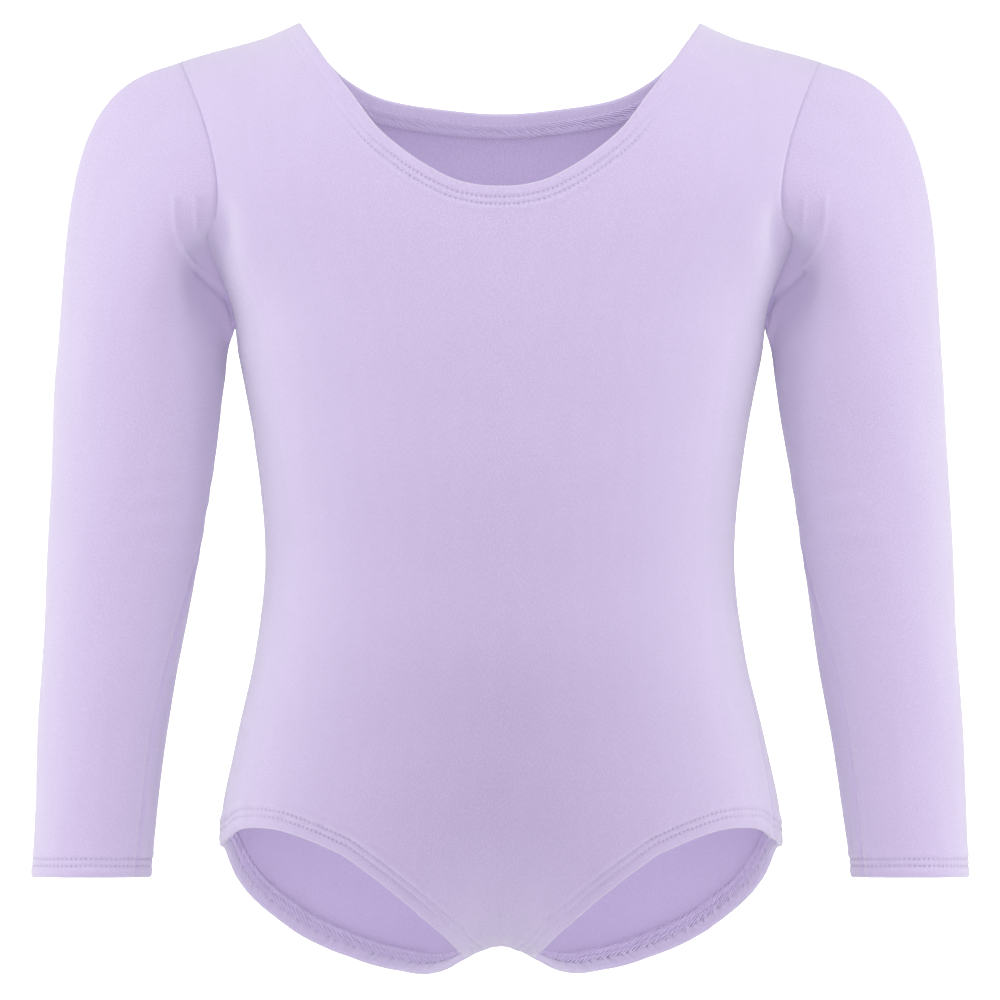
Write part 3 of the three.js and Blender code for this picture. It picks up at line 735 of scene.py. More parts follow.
class SleeveForm:
    """The left sleeve as worn; the right one is its mirror image."""

    CAP_END = 160.0
    SPLIT = 190.0
    END = 384.0
    DEPTH = 0.85
    TWIST = 40.0
    AROUND = 180

    def __init__(self, trunk: TrunkCloth) -> None:
        """Takes the armhole from the panels.

        Args:
            trunk: The panels.
        """
        self.middle = SmoothLine(
            [(160, 161.8), (215, 167.2), (269, 172.6), (323, 179.3), (377, 183.6), (384, 184)])
        self.half = SmoothLine([(160, 37.8), (215, 35.3), (269, 31.7), (323, 29), (377, 26.6), (384, 26.4)])
        self.turn = SmoothLine([(215, 0), (276, 0.75), (306, 1), (384, 1)])
        self.broad = Ripple(21, 60, (1, 1, 2.2))
        self.folds = Ripple(35, 26, (1.2, 1.2, 3.0))
        self._armhole(trunk)

    def _armhole(self, trunk: TrunkCloth) -> None:
        """Reads the armhole edge and the way the cloth leaves it.

        Args:
            trunk: The panels.
        """
        points, ways, normals = [], [], []
        for face, order in ((Face.BACK, slice(216, 125, -1)), (Face.FRONT, slice(127, 217))):
            rows = trunk.halves[face].rows[order]
            edge, inside = trunk.form.point(rows[:, -1]), trunk.form.point(rows[:, -9])
            points.append(edge)
            ways.append((edge - inside) / np.linalg.norm(edge - inside, axis=-1, keepdims=True))
            normals.append(trunk.form.normal(rows[:, -1]))
        self.edge, self.way = np.vstack(points)[: self.AROUND], np.vstack(ways)[: self.AROUND]
        self.lift = np.vstack(normals)[: self.AROUND]

    def angles(self, down: Array) -> Array:
        """Angles of the columns at each distance down: the underarm seam is half way round."""
        k = np.arange(self.AROUND) * 2 * math.pi / self.AROUND
        return k + np.radians(self.TWIST * self.turn(down))[..., None]

    def ring(self, down: Array) -> Array:
        """Points of level rings."""
        a, half = self.angles(down), self.half(down)[..., None]
        z = np.broadcast_to(-np.asarray(down, float)[..., None], a.shape)
        x = self.middle(down)[..., None] + half * np.cos(a)
        return np.stack([x, half * self.DEPTH * np.sin(a), z], axis=-1)

    def ring_normal(self, down: Array) -> Array:
        """Outward normals of level rings."""
        a = self.angles(down)
        n = np.stack([np.cos(a) * self.DEPTH, np.sin(a), np.zeros_like(a)], axis=-1)
        return n / np.linalg.norm(n, axis=-1, keepdims=True)

    def head(self, count: int) -> Array:
        """Rows from the armhole to the first level ring.

        Args:
            count: How many rows, with three tucked under the panels' edge.

        Returns:
            The rows' points.
        """
        round_it = np.arange(self.AROUND)[:, None] * 2 * math.pi / self.AROUND
        under, crown = ((1 - np.cos(round_it)) / 2) ** 2, ((1 + np.cos(round_it)) / 2) ** 3
        leave = np.hstack([0.97 - 0.62 * under - 0.13 * crown, 0 * under, -0.25 - 0.69 * under - 0.30 * crown])
        leave /= np.linalg.norm(leave, axis=1, keepdims=True)
        around = np.abs(np.sin(round_it))
        sideways = np.hstack([np.ones_like(around), around, np.ones_like(around)])
        leave = leave + self.way * sideways * (1 - under) ** 2
        leave /= np.linalg.norm(leave, axis=1, keepdims=True)
        end = self.ring(np.array([self.CAP_END]))[0]
        facing = (leave * self.way).sum(1, keepdims=True)
        aslant = np.sqrt(np.clip(1 - facing**2, 0, None))
        start = self.edge + leave * (0.1 + 0.3 * aslant) + self.lift * 0.35 * np.maximum(-facing, 0)
        tucked = np.stack([
            self.edge - self.way * 2.2 - self.lift * 1.6, self.edge - self.way * 0.5 - self.lift * 1.35,
            self.edge + leave * 0.05 - self.lift * 0.6])
        reach = np.linalg.norm(start - end, axis=1, keepdims=True) * 1.15
        down = np.array([0.1, 0, -1]) / math.hypot(0.1, 1)
        t = np.linspace(0, 1, count - 3, endpoint=False)[:, None, None]
        return np.concatenate([tucked, hermite(start, end, leave * reach, down * reach, t)])

    def rows(self) -> tuple[Array, Array, Array]:
        """All rows of the sleeve with the hem distance and the row at which the two lengths part."""
        upper = np.linspace(self.CAP_END, self.SPLIT, 20)
        lower = np.linspace(self.SPLIT, self.END - HEM_STEPS[-1], 122)[1:]
        downs = np.concatenate([upper, lower, self.END - HEM_STEPS[::-1][1:]])
        head = self.head(76)
        points = np.concatenate([head, self.ring(downs)])
        from_end = self.END - downs
        hem = np.concatenate([np.full(len(head), NO_HEM), np.where(from_end <= HEM_STEPS[-1], from_end, NO_HEM)])
        return points, hem, np.array(len(head) + len(upper) - 1)

    def relief(self, p: Array, hem: Array) -> Array:
        """How far the cloth stands out from the smooth sleeve.

        Args:
            p: Points of the sleeve, round it in the second direction.
            hem: Distance from the cuff's edge.

        Returns:
            The distance outwards at each point.
        """
        x, y, z = np.abs(p[..., 0]), p[..., 1], p[..., 2]
        k = np.arange(self.AROUND) / self.AROUND
        seam = np.abs(k - 0.5) * 2 * math.pi * 30
        body = ease(-z, 110, 190)
        out = (0.55 * self.broad(p) + 0.45 * self.folds(p)) * (0.25 + 0.75 * body) + hem_profile(hem)
        out = out - 0.75 * bell(seam, 1.0) * ease(-z, 126, 140) + 0.25 * bell(seam - 4, 2.0) * body
        edge_near = bell(nearest(p * [np.sign(p[..., :1]).mean(), 1, 1], self.edge), 1.3)
        out = out - 0.5 * edge_near * (0.08 + 0.92 * ease(-z, 35, 90))
        for line, height, width in CREASES:
            flat = np.stack([x, np.zeros_like(x), z], axis=-1)
            path = spline(np.array([(a, 0, b) for a, b in line]), 12)
            near = bell(nearest(flat, path), width) * ease(-y, -4, 8)
            out = out + height * near
        at_elbow = bell(z + 226, 26) * ease(-y, -8, 14) * ease(-x, -176, -150)
        out = out - 0.45 * np.sin(-z * 2 * math.pi / 13 + 2 * self.broad(p)) * at_elbow
        return out

    def shell(self, side: Side, out: float, part: slice, rows: Array, hem: Array) -> Array:
        """Rows of the worn sleeve at a distance from its outer face."""
        normal = self.normals(rows)
        rise = self.relief(rows * [side.value, 1, 1], hem[:, None] + np.zeros(rows.shape[:2]))
        return ((rows + normal * (rise + out + STAND)[..., None]) * [side.value, 1, 1])[part]

    @staticmethod
    def normals(rows: Array) -> Array:
        """Outward normals of closed rows."""
        along = np.gradient(rows, axis=0)
        around = (np.roll(rows, -1, axis=1) - np.roll(rows, 1, axis=1)) / 2
        n = np.cross(along, around)
        n = n / np.linalg.norm(n, axis=-1, keepdims=True)
        centre = rows.mean(axis=1, keepdims=True)
        return n * np.sign(((rows - centre) * n).sum(-1, keepdims=True).mean())


CREASES = (
    (((145.8, -80), (145.2, -93), (141, -105), (131, -116), (124, -124)), 0.95, 1.2),
    (((136.4, -80), (136.0, -94)), 0.7, 1.1),
    (((136.5, -112), (131, -117), (126, -121.5), (121, -128), (119, -136)), -2.0, 1.6),
    (((133, -113), (127, -121), (122, -129)), -0.6, 4.0),
    (((150, -112), (143, -124), (134, -136), (128, -148)), 0.5, 5.0),
    (((153, -128), (144, -142), (134, -154), (130, -166)), -0.5, 6.0),
)


# ---- Meshes ---------------------------------------------------------------------------------------------


class Cloths:
    """Makes finished mesh objects, placed in metres at the origin."""

    @staticmethod
    def make(name: str, points: Array, faces: Array, uv: Array | None = None,
             fields: dict[str, Array] | None = None, sharp: float = 50) -> bpy.types.Object:
        """A mesh object with outward normals.

        Args:
            name: The object's name.
            points: Points in millimetres.
            faces: Corner numbers, one quad a row.
            uv: Cloth coordinates of each point.
            fields: Named values of each point.
            sharp: Angle in degrees above which an edge is drawn sharp.

        Returns:
            The object.
        """
        mesh = bpy.data.meshes.new(name)
        mesh.from_pydata((points * MM).tolist(), [], faces.tolist())
        for key, values in (fields or {}).items():
            layer = mesh.attributes.new(key, "FLOAT", "POINT")
            layer.data.foreach_set("value", np.asarray(values, np.float32).ravel())
        if uv is not None:
            corner = np.zeros(len(mesh.loops), np.int32)
            mesh.loops.foreach_get("vertex_index", corner)
            mesh.uv_layers.new(name="cloth").data.foreach_set("uv", uv[corner].astype(np.float32).ravel())
        mesh.polygons.foreach_set("use_smooth", [True] * len(mesh.polygons))
        mesh.update()
        mesh.set_sharp_from_angle(angle=math.radians(sharp))
        obj = bpy.data.objects.new(name, mesh)
        bpy.context.scene.collection.objects.link(obj)
        log.info("%s: %d faces", name, len(faces))
        return obj

    @staticmethod
    def shell(name: str, outer: Array, inner: Array, grids: Sequence[Array], uv: Array,
              fields: dict[str, Array]) -> bpy.types.Object:
        """Closed cloth between an outer and an inner layer of points.

        Args:
            name: The object's name.
            outer: The outer face's points.
            inner: The inner face's points, one for each outer point.
            grids: Rows of point numbers, neighbours in a row and between rows making quads.
            uv: Cloth coordinates of each point.
            fields: Named values of each point.

        Returns:
            The object.
        """
        count = len(outer)
        top = np.vstack([
            np.stack([g[:-1, :-1], g[:-1, 1:], g[1:, 1:], g[1:, :-1]], -1).reshape(-1, 4) for g in grids])
        edges = np.stack([top, np.roll(top, -1, axis=1)], -1).reshape(-1, 2)
        key, back = edges[:, 0] * count + edges[:, 1], edges[:, 1] * count + edges[:, 0]
        start, end = edges[~np.isin(key, back)].T
        rim = np.stack([end, start, start + count, end + count], -1)
        twice = {label: np.tile(np.asarray(v).ravel(), 2) for label, v in fields.items()}
        twice["inside"] = np.repeat([0.0, 1.0], count)
        faces = np.vstack([top, top[:, ::-1] + count, rim])
        obj = Cloths.make(name, np.vstack([outer, inner]), faces, np.tile(uv, (2, 1)), twice)
        Cloths.face_out(obj, False)
        return obj

    @staticmethod
    def swept(name: str, grid: Array, closed: bool, fields: dict[str, Array] | None = None) -> bpy.types.Object:
        """A closed bar from sections laid along a line.

        Args:
            name: The object's name.
            grid: Sections in rows: each row goes round one section.
            closed: Whether the line is a ring.
            fields: Named values in the same rows.

        Returns:
            The object.
        """
        r, c = grid.shape[:2]
        index = np.arange(r * c).reshape(r, c)
        rows = (np.arange(r if closed else r - 1) + 1) % r
        here = index[: len(rows)]
        after = index[rows]
        quads = np.stack([here, np.roll(here, -1, 1), np.roll(after, -1, 1), after], -1).reshape(-1, 4)
        step = np.cumsum(np.concatenate([[0], np.linalg.norm(np.diff(grid[:, 0], axis=0), axis=1)]))
        girth = np.cumsum(np.concatenate([[0], np.linalg.norm(np.diff(grid[0], axis=0), axis=1)]))
        uv = np.stack(np.meshgrid(girth, step), -1).reshape(-1, 2)
        obj = Cloths.make(name, grid.reshape(-1, 3), quads, uv, fields)
        Cloths.face_out(obj, not closed)
        return obj

    @staticmethod
    def face_out(obj: bpy.types.Object, cap: bool) -> None:
        """Closes open ends and turns every face outwards."""
        work = bmesh.new()
        work.from_mesh(obj.data)
        if cap:
            bmesh.ops.holes_fill(work, edges=[e for e in work.edges if e.is_boundary], sides=0)
        bmesh.ops.recalc_face_normals(work, faces=work.faces)
        work.to_mesh(obj.data)
        work.free()


def tube(path: Array, normal: Array, radius: float, sides: int = 5, taper: bool = False) -> Array:
    """Sections of a thread round a path.

    Args:
        path: The thread's middle line.
        normal: A direction across the thread at each point.
        radius: Half its thickness.
        sides: Corners of a section.
        taper: Whether the ends draw in.

    Returns:
        One section a row.
    """
    tangent = np.gradient(path, axis=0)
    tangent /= np.linalg.norm(tangent, axis=1, keepdims=True)
    across = np.cross(tangent, normal)
    across /= np.linalg.norm(across, axis=1, keepdims=True)
    up = np.cross(across, tangent)
    size = np.full(len(path), radius)
    if taper:
        size[[0, -1]] *= 0.45
    a = np.arange(sides) * 2 * math.pi / sides
    ring = np.cos(a)[None, :, None] * across[:, None] + np.sin(a)[None, :, None] * up[:, None]
    return path[:, None] + ring * size[:, None, None]


class Track:
    """A run of stations along an edge, with the worn cloth's points at any distance in from it."""

    def __init__(self, reader: Callable[[float, float], Array], closed: bool) -> None:
        """Keeps the reader.

        Args:
            reader: Gives the points of all stations for (distance in, distance out).
            closed: Whether the run is a ring.
        """
        self.reader, self.closed = reader, closed

    def line(self, distance: float, out: float, pitch: float, count: int = 0) -> tuple[Array, Array]:
        """Evenly spaced points and normals along the run.

        Args:
            distance: Distance in from the edge.
            out: Distance from the cloth's outer face.
            pitch: Spacing wanted.
            count: How many points, in place of the spacing.

        Returns:
            Points and outward normals.
        """
        p, q = self.reader(distance, out), self.reader(distance, out + 1)
        if self.closed:
            p, q = np.vstack([p, p[:1]]), np.vstack([q, q[:1]])
        along = lengths(p)
        count = count or max(4, round(along[-1] / pitch))
        at = np.arange(count) / (count if self.closed else count - 1)
        points, tops = resample(p, along, at), resample(q, along, at)
        n = tops - points
        return points, n / np.linalg.norm(n, axis=1, keepdims=True)

    def bar(self, name: str, section: Sequence[Pair], ruffle: float = 0.0,
            pitch: float = 1.0) -> bpy.types.Object:
        """A band of constant section along the run.

        Args:
            name: The object's name.
            section: (distance in, distance out) pairs round the section.
            ruffle: How far the band's inner side is drawn up into small gathers.
            pitch: Spacing of the sections.

        Returns:
            The object.
        """
        lines = [self.line(d, o, pitch) for d, o in section]
        count = len(lines[0][0])
        even = [self.line(d, o, pitch, count=count) for d, o in section]
        step = np.arange(count) * pitch
        wave = np.sin(step * 2 * math.pi / 3.1) + 0.7 * np.sin(step * 2 * math.pi / 4.7 + np.sin(step / 9))
        shares = [ease(np.array(-o), 1.8, 2.4) * bell(np.array(d - 5.0), 4.0) for d, o in section]
        grid = np.stack([p + n * (ruffle * wave * share)[:, None] for (p, n), share in zip(even, shares)], axis=1)
        return Cloths.swept(name, grid, self.closed)

    def stitches(self, name: str, distance: float, pitch: float,
                 plain: Callable[[Array], Array]) -> bpy.types.Object:
        """A row of needle stitches, each a short length of thread dipping into the cloth at its ends.

        Args:
            name: The object's name.
            distance: The row's distance in from the edge.
            pitch: Stitch length.
            plain: How far the stitches at points stand out, from 0 to 1.

        Returns:
            The object.
        """
        steps = 5
        p, n = self.line(distance, 0.0, pitch / steps)
        p = p - n * 0.42 * (1 - plain(p))[:, None]
        usable = len(p) // steps * steps
        p, n = p[:usable].reshape(-1, steps, 3), n[:usable].reshape(-1, steps, 3)
        dip = np.array([-0.28, -0.02, 0.06, -0.02, -0.28])
        blocks, faces = [], []
        for i, (line, way) in enumerate(zip(p, n)):
            rings = tube(line + way * dip[:, None], way, 0.2, 5, taper=True)
            blocks.append(rings.reshape(-1, 3))
            base = i * steps * 5
            for row in range(steps - 1):
                for col in range(5):
                    nxt = (col + 1) % 5
                    faces.append([base + row * 5 + col, base + row * 5 + nxt, base + (row + 1) * 5 + nxt,
                                  base + (row + 1) * 5 + col])
        obj = Cloths.make(name, np.vstack(blocks), np.array(faces))
        Cloths.face_out(obj, True)
        return obj

    def looper(self, name: str, low: float, high: float, out: float, pitch: float = 1.1) -> bpy.types.Object:
        """The covering thread on the inside, crossing from row to row.

        Args:
            name: The object's name.
            low: Nearer limit of the zigzag.
            high: Farther limit.
            out: Distance from the cloth's outer face.
            pitch: Length of one crossing.

        Returns:
            The object.
        """
        near, normal = self.line(low, out, pitch / 2)
        far, _ = self.line(high, out, pitch / 2)
        count = min(len(near), len(far)) // 4 * 4
        sway = np.tile([0.0, 0.5, 1.0, 0.5], count // 4)[:, None]
        path = near[:count] * (1 - sway) + far[:count] * sway
        path = path - normal[:count] * (0.12 + 0.12 * np.sin(np.arange(count) * 2.4))[:, None]
        return Cloths.swept(name, tube(path, normal[:count], 0.34), self.closed)


# ---- Finishes -------------------------------------------------------------------------------------------


@dataclass(frozen=True)
class Finish:
    """Colour and surface of one kind of cloth or thread.

    Attributes:
        name: The material's name.
        colour: Linear colour, seen face on.
        inside: Colour of the inner face, where it differs.
        painted_sheen: Painted sheen: colour seen along the surface, a paler tone blended in at grazing angles
            that stands in for the lit edges.
        roughness: Roughness of the surface.
        sheen: Weight of its sheen.
        knit: Height of the knitted relief.
        slot: A material slot name, where it isn't the name; not used.
    """

    name: str
    colour: Colour
    inside: Colour | None = None
    painted_sheen: Colour | None = None
    roughness: float = 0.85
    sheen: float = 0.25
    knit: float = 1.0
    slot: str = ""


def linear(*rgb: int) -> Colour:
    """Linear colour from display values of 11 to 255."""
    return tuple(((v / 255 + 0.055) / 1.055) ** 2.4 for v in rgb)


# The third colour of jersey and turned jersey is painted sheen: a paler tone shown at grazing angles, standing in
# for the lit edges.
JERSEY = Finish("jersey", linear(206, 191, 227), linear(206, 190, 228), linear(214, 209, 228), sheen=0.4)
TURNED = Finish("turned_jersey", linear(210, 197, 230), painted_sheen=linear(214, 209, 228), sheen=0.4)
LINING = Finish("lining", linear(188, 170, 220), sheen=0.1)
SEAM = Finish("overlocked_seam", linear(203, 189, 231), knit=1.6)
THREAD = Finish("thread", linear(213, 200, 236), roughness=0.6, sheen=0.1, knit=0.0)
# Painted light: the looper thread is made lighter than the needle thread to make up for the shade it lies in.
COVERING_PAINTED_LIGHT = Finish("covering_thread", linear(226, 211, 247), roughness=0.7, sheen=0.3, knit=0.0,
                  slot="thread")
ELASTIC = Finish("elastic", linear(230, 228, 236), roughness=0.7, knit=0.6)


class Shaders:
    """Builds the procedural materials, each once."""

    def __init__(self) -> None:
        """Makes the shared effects."""
        self.made: dict[str, bpy.types.Material] = {}
        self.knit = self._knit_group()
        self.holes = self._holes_group()

    @staticmethod
    def _group(name: str, inputs: Sequence[tuple[str, str]], outputs: Sequence[tuple[str, str]]
               ) -> tuple[bpy.types.NodeTree, bpy.types.Node, bpy.types.Node]:
        """A node group with its sockets, and the nodes at its two ends."""
        tree = bpy.data.node_groups.new(name, "ShaderNodeTree")
        for label, kind in inputs:
            tree.interface.new_socket(label, in_out="INPUT", socket_type=kind)
        for label, kind in outputs:
            tree.interface.new_socket(label, in_out="OUTPUT", socket_type=kind)
        return tree, tree.nodes.new("NodeGroupInput"), tree.nodes.new("NodeGroupOutput")

    @staticmethod
    def _math(tree: bpy.types.NodeTree, operation: str, *values: "bpy.types.NodeSocket | float"
              ) -> bpy.types.NodeSocket:
        """A math node fed with sockets or numbers.

        Args:
            tree: The node tree.
            operation: The node's operation.
            values: Its inputs, in order.

        Returns:
            The node's output socket.
        """
        node = tree.nodes.new("ShaderNodeMath")
        node.operation = operation
        for i, value in enumerate(values):
            if isinstance(value, (int, float)):
                node.inputs[i].default_value = value
            else:
                tree.links.new(value, node.inputs[i])
        return node.outputs[0]

    def _knit_group(self) -> bpy.types.NodeTree:
        """Upright wales, uneven loops and light flecks, from cloth coordinates in millimetres."""
        tree, into, out = self._group("knit", [("Cloth", "NodeSocketVector")],
                                      [("Height", "NodeSocketFloat"), ("Tint", "NodeSocketFloat")])
        parts = []
        for scale, detail in (((1.9, 0.55, 1), 2.0), ((2.6, 2.2, 1), 1.0), ((0.16, 0.03, 1), 2.0)):
            stretch = tree.nodes.new("ShaderNodeVectorMath")
            stretch.operation = "MULTIPLY"
            tree.links.new(into.outputs[0], stretch.inputs[0])
            stretch.inputs[1].default_value = scale
            noise = tree.nodes.new("ShaderNodeTexNoise")
            noise.inputs["Scale"].default_value = 1.0
            noise.inputs["Detail"].default_value = detail
            tree.links.new(stretch.outputs[0], noise.inputs["Vector"])
            parts.append(noise.outputs[0])
        wales, loops, broad = parts
        height = self._math(tree, "MULTIPLY_ADD", wales, 0.6, self._math(tree, "MULTIPLY", loops, 0.4))
        tree.links.new(height, out.inputs[0])
        fleck = self._math(tree, "POWER", loops, 3.0)
        wale_share, fleck_share, broad_share, base = 0.20, 0.62, 0.05, 0.797
        tint = self._math(tree, "MULTIPLY", fleck, fleck_share)
        tint = self._math(tree, "MULTIPLY_ADD", wales, wale_share, tint)
        tint = self._math(tree, "MULTIPLY_ADD", broad, broad_share, tint)
        tree.links.new(self._math(tree, "ADD", tint, base), out.inputs[1])
        return tree

    def _holes_group(self) -> bpy.types.NodeTree:
        """Marks of the needle rows: small holes spaced by the stitch length, and the groove they lie in."""
        tree, into, out = self._group("needle_rows", [("Hem", "NodeSocketFloat"), ("Along", "NodeSocketFloat")],
                                      [("Hole", "NodeSocketFloat"), ("Groove", "NodeSocketFloat")])
        sewing = Stitching()
        turn = self._math(tree, "MULTIPLY", into.outputs[1], 2 * math.pi / sewing.stitch_pitch)
        swing = self._math(tree, "MULTIPLY", self._math(tree, "COSINE", turn), 1.6)
        spot = self._math(tree, "SMOOTH_MAX", swing, 0.0, 0.2)
        grooves = []
        for row in (sewing.needle_row, sewing.needle_row + sewing.needle_gap):
            off = self._math(tree, "ABSOLUTE", self._math(tree, "SUBTRACT", into.outputs[0], row))
            node = tree.nodes.new("ShaderNodeMapRange")
            node.interpolation_type = "SMOOTHSTEP"
            tree.links.new(off, node.inputs[0])
            node.inputs[1].default_value, node.inputs[2].default_value = 0.25, 0.75
            node.inputs[3].default_value, node.inputs[4].default_value = 1.0, 0.0
            grooves.append(node.outputs[0])
        groove = self._math(tree, "MAXIMUM", *grooves)
        hole = self._math(tree, "MULTIPLY", groove, self._math(tree, "MINIMUM", spot, 1.0))
        tree.links.new(hole, out.inputs[0])
        tree.links.new(groove, out.inputs[1])
        return tree

    @staticmethod
    def _attribute(tree: bpy.types.NodeTree, name: str) -> bpy.types.NodeSocket:
        """The value that a named attribute has on the mesh."""
        node = tree.nodes.new("ShaderNodeAttribute")
        node.attribute_name = name
        return node.outputs["Fac"]

    def get(self, finish: Finish, marked: bool = False) -> bpy.types.Material:
        """The material of a finish.

        Args:
            finish: The finish.
            marked: Whether the cloth carries needle rows and an inner face of its own colour.

        Returns:
            The material.
        """
        key = finish.name + ("_panel" if marked else "")
        if key in self.made:
            return self.made[key]
        material = bpy.data.materials.new(key)
        material.use_nodes = True
        tree = material.node_tree
        shader = tree.nodes["Principled BSDF"]
        shader.inputs["Roughness"].default_value = finish.roughness
        shader.inputs["Sheen Weight"].default_value = finish.sheen
        shader.inputs["Sheen Roughness"].default_value = 0.6
        shader.inputs["Specular IOR Level"].default_value = 0.25
        colour = tree.nodes.new("ShaderNodeMix")
        colour.data_type = "RGBA"
        # Painted sheen: the base colour turns paler where the surface is seen edge on.
        painted_sheen = tree.nodes.new("ShaderNodeMix")
        painted_sheen.data_type = "RGBA"
        facing = tree.nodes.new("ShaderNodeLayerWeight")
        facing.inputs["Blend"].default_value = 0.4
        tree.links.new(facing.outputs["Facing"], painted_sheen.inputs[0])
        painted_sheen.inputs[6].default_value = (*finish.colour, 1)
        painted_sheen.inputs[7].default_value = (*(finish.painted_sheen or finish.colour), 1)
        tree.links.new(painted_sheen.outputs[2], colour.inputs[6])
        colour.inputs[7].default_value = (*(finish.inside or finish.colour), 1)
        colour.inputs[0].default_value = 0
        coat = tree.nodes.new("ShaderNodeUVMap")
        coat.uv_map = "cloth"
        knit = tree.nodes.new("ShaderNodeGroup")
        knit.node_tree = self.knit
        tree.links.new(coat.outputs[0], knit.inputs[0])
        tint, height = knit.outputs[1], self._math(tree, "MULTIPLY", knit.outputs[0], finish.knit)
        if marked:
            tree.links.new(self._attribute(tree, "inside"), colour.inputs[0])
            rows = tree.nodes.new("ShaderNodeGroup")
            rows.node_tree = self.holes
            tree.links.new(self._attribute(tree, "hem"), rows.inputs[0])
            tree.links.new(self._attribute(tree, "along"), rows.inputs[1])
            outside = self._math(tree, "SUBTRACT", 1.0, self._attribute(tree, "inside"))
            outside = self._math(tree, "MULTIPLY", outside, self._attribute(tree, "marked"))
            hole = self._math(tree, "MULTIPLY", rows.outputs[0], outside)
            # Painted shade: the colour is darkened by up to a fifth in the needle holes.
            tint = self._math(tree, "MULTIPLY", tint, self._math(tree, "MULTIPLY_ADD", hole, -0.2, 1.0))
            height = self._math(tree, "SUBTRACT", height, self._math(tree, "MULTIPLY", hole, 1.5))
        shade = tree.nodes.new("ShaderNodeVectorMath")
        shade.operation = "SCALE"
        tree.links.new(colour.outputs[2], shade.inputs[0])
        tree.links.new(tint, shade.inputs["Scale"])
        tree.links.new(shade.outputs[0], shader.inputs["Base Color"])
        bump = tree.nodes.new("ShaderNodeBump")
        bump.inputs["Strength"].default_value = 0.55 if finish.knit else 0.0
        bump.inputs["Distance"].default_value = 0.0004
        tree.links.new(height, bump.inputs["Height"])
        tree.links.new(bump.outputs[0], shader.inputs["Normal"])
        self.made[key] = material
        return material


# ---- Pieces ---------------------------------------------------------------------------------------------


@dataclass
class Maker:
    """What every sub-assembly shares."""

    form: BodyForm
    cloth: TrunkCloth
    sleeve: SleeveForm
    shaders: Shaders
    stitching: Stitching

    def finish(self, obj: bpy.types.Object, finish: Finish, node: str, *more: str,
               marked: bool = False) -> bpy.types.Object:
        """Gives a piece its material and hides the pieces of the part that it stands for."""
        obj.data.materials.append(self.shaders.get(finish, marked))
        finish.slot or finish.name
        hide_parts(node, *more)
        return obj


# Section of the turned cloth, as (distance in, distance out) pairs.
HEM_ROLL = ((0.3, -0.9), (0.1, -0.35), (-0.05, 0.0), (-0.4, -0.12), (-0.8, -0.6), (-0.95, -1.3), (-0.8, -2.0),
            (-0.3, -2.5), (0.4, -2.68), (2.5, -2.7), (5.0, -2.72), (7.5, -2.75), (8.5, -2.8), (8.9, -2.55),
            (8.5, -2.2), (6.0, -2.05), (2.0, -2.0), (0.6, -1.9), (0.2, -1.45))


class HemSet:
    """A turned and cover-stitched edge: the turned cloth, its elastic, the needle rows and the looper thread."""

    def __init__(self, maker: Maker, track: Track, prefix: str, elastic: str | None) -> None:
        """Makes the pieces.

        Args:
            maker: Shared makers.
            track: The edge.
            prefix: Start of the node names.
            elastic: The elastic's node, where the edge has one.
        """
        lay = maker.stitching
        finish = maker.finish
        ruffle = 0.5 if "leg" in prefix else 0.2
        self.hem = finish(track.bar(f"{prefix}_hem", HEM_ROLL, ruffle), TURNED, f"{prefix}_hem")
        self.parts = [self.hem]

        def plain(points: Array) -> Array:
            """How plainly this edge's stitches show."""
            return np.ones(len(points)) if prefix.endswith("cuff") else marked(points, prefix.endswith("leg"))

        for where, distance in (("outer", lay.needle_row), ("inner", lay.needle_row + lay.needle_gap)):
            row = track.stitches(f"{prefix}_stitch_{where}", distance, lay.stitch_pitch, plain)
            self.parts.append(finish(row, THREAD, f"{prefix}_stitch_{where}"))
        looper = track.looper(f"{prefix}_looper", 3.8, 8.0, -2.95, 1.2)
        Joiner.join(looper, track.looper(f"{prefix}_serging", 7.0, 10.2, -2.85, 0.8))
        self.parts.append(finish(looper, COVERING_PAINTED_LIGHT, f"{prefix}_looper"))
        if elastic:
            band = track.bar(elastic, ((0.9, -1.0), (6.9, -1.0), (6.9, -1.8), (0.9, -1.8)))
            self.parts.append(finish(band, ELASTIC, elastic))


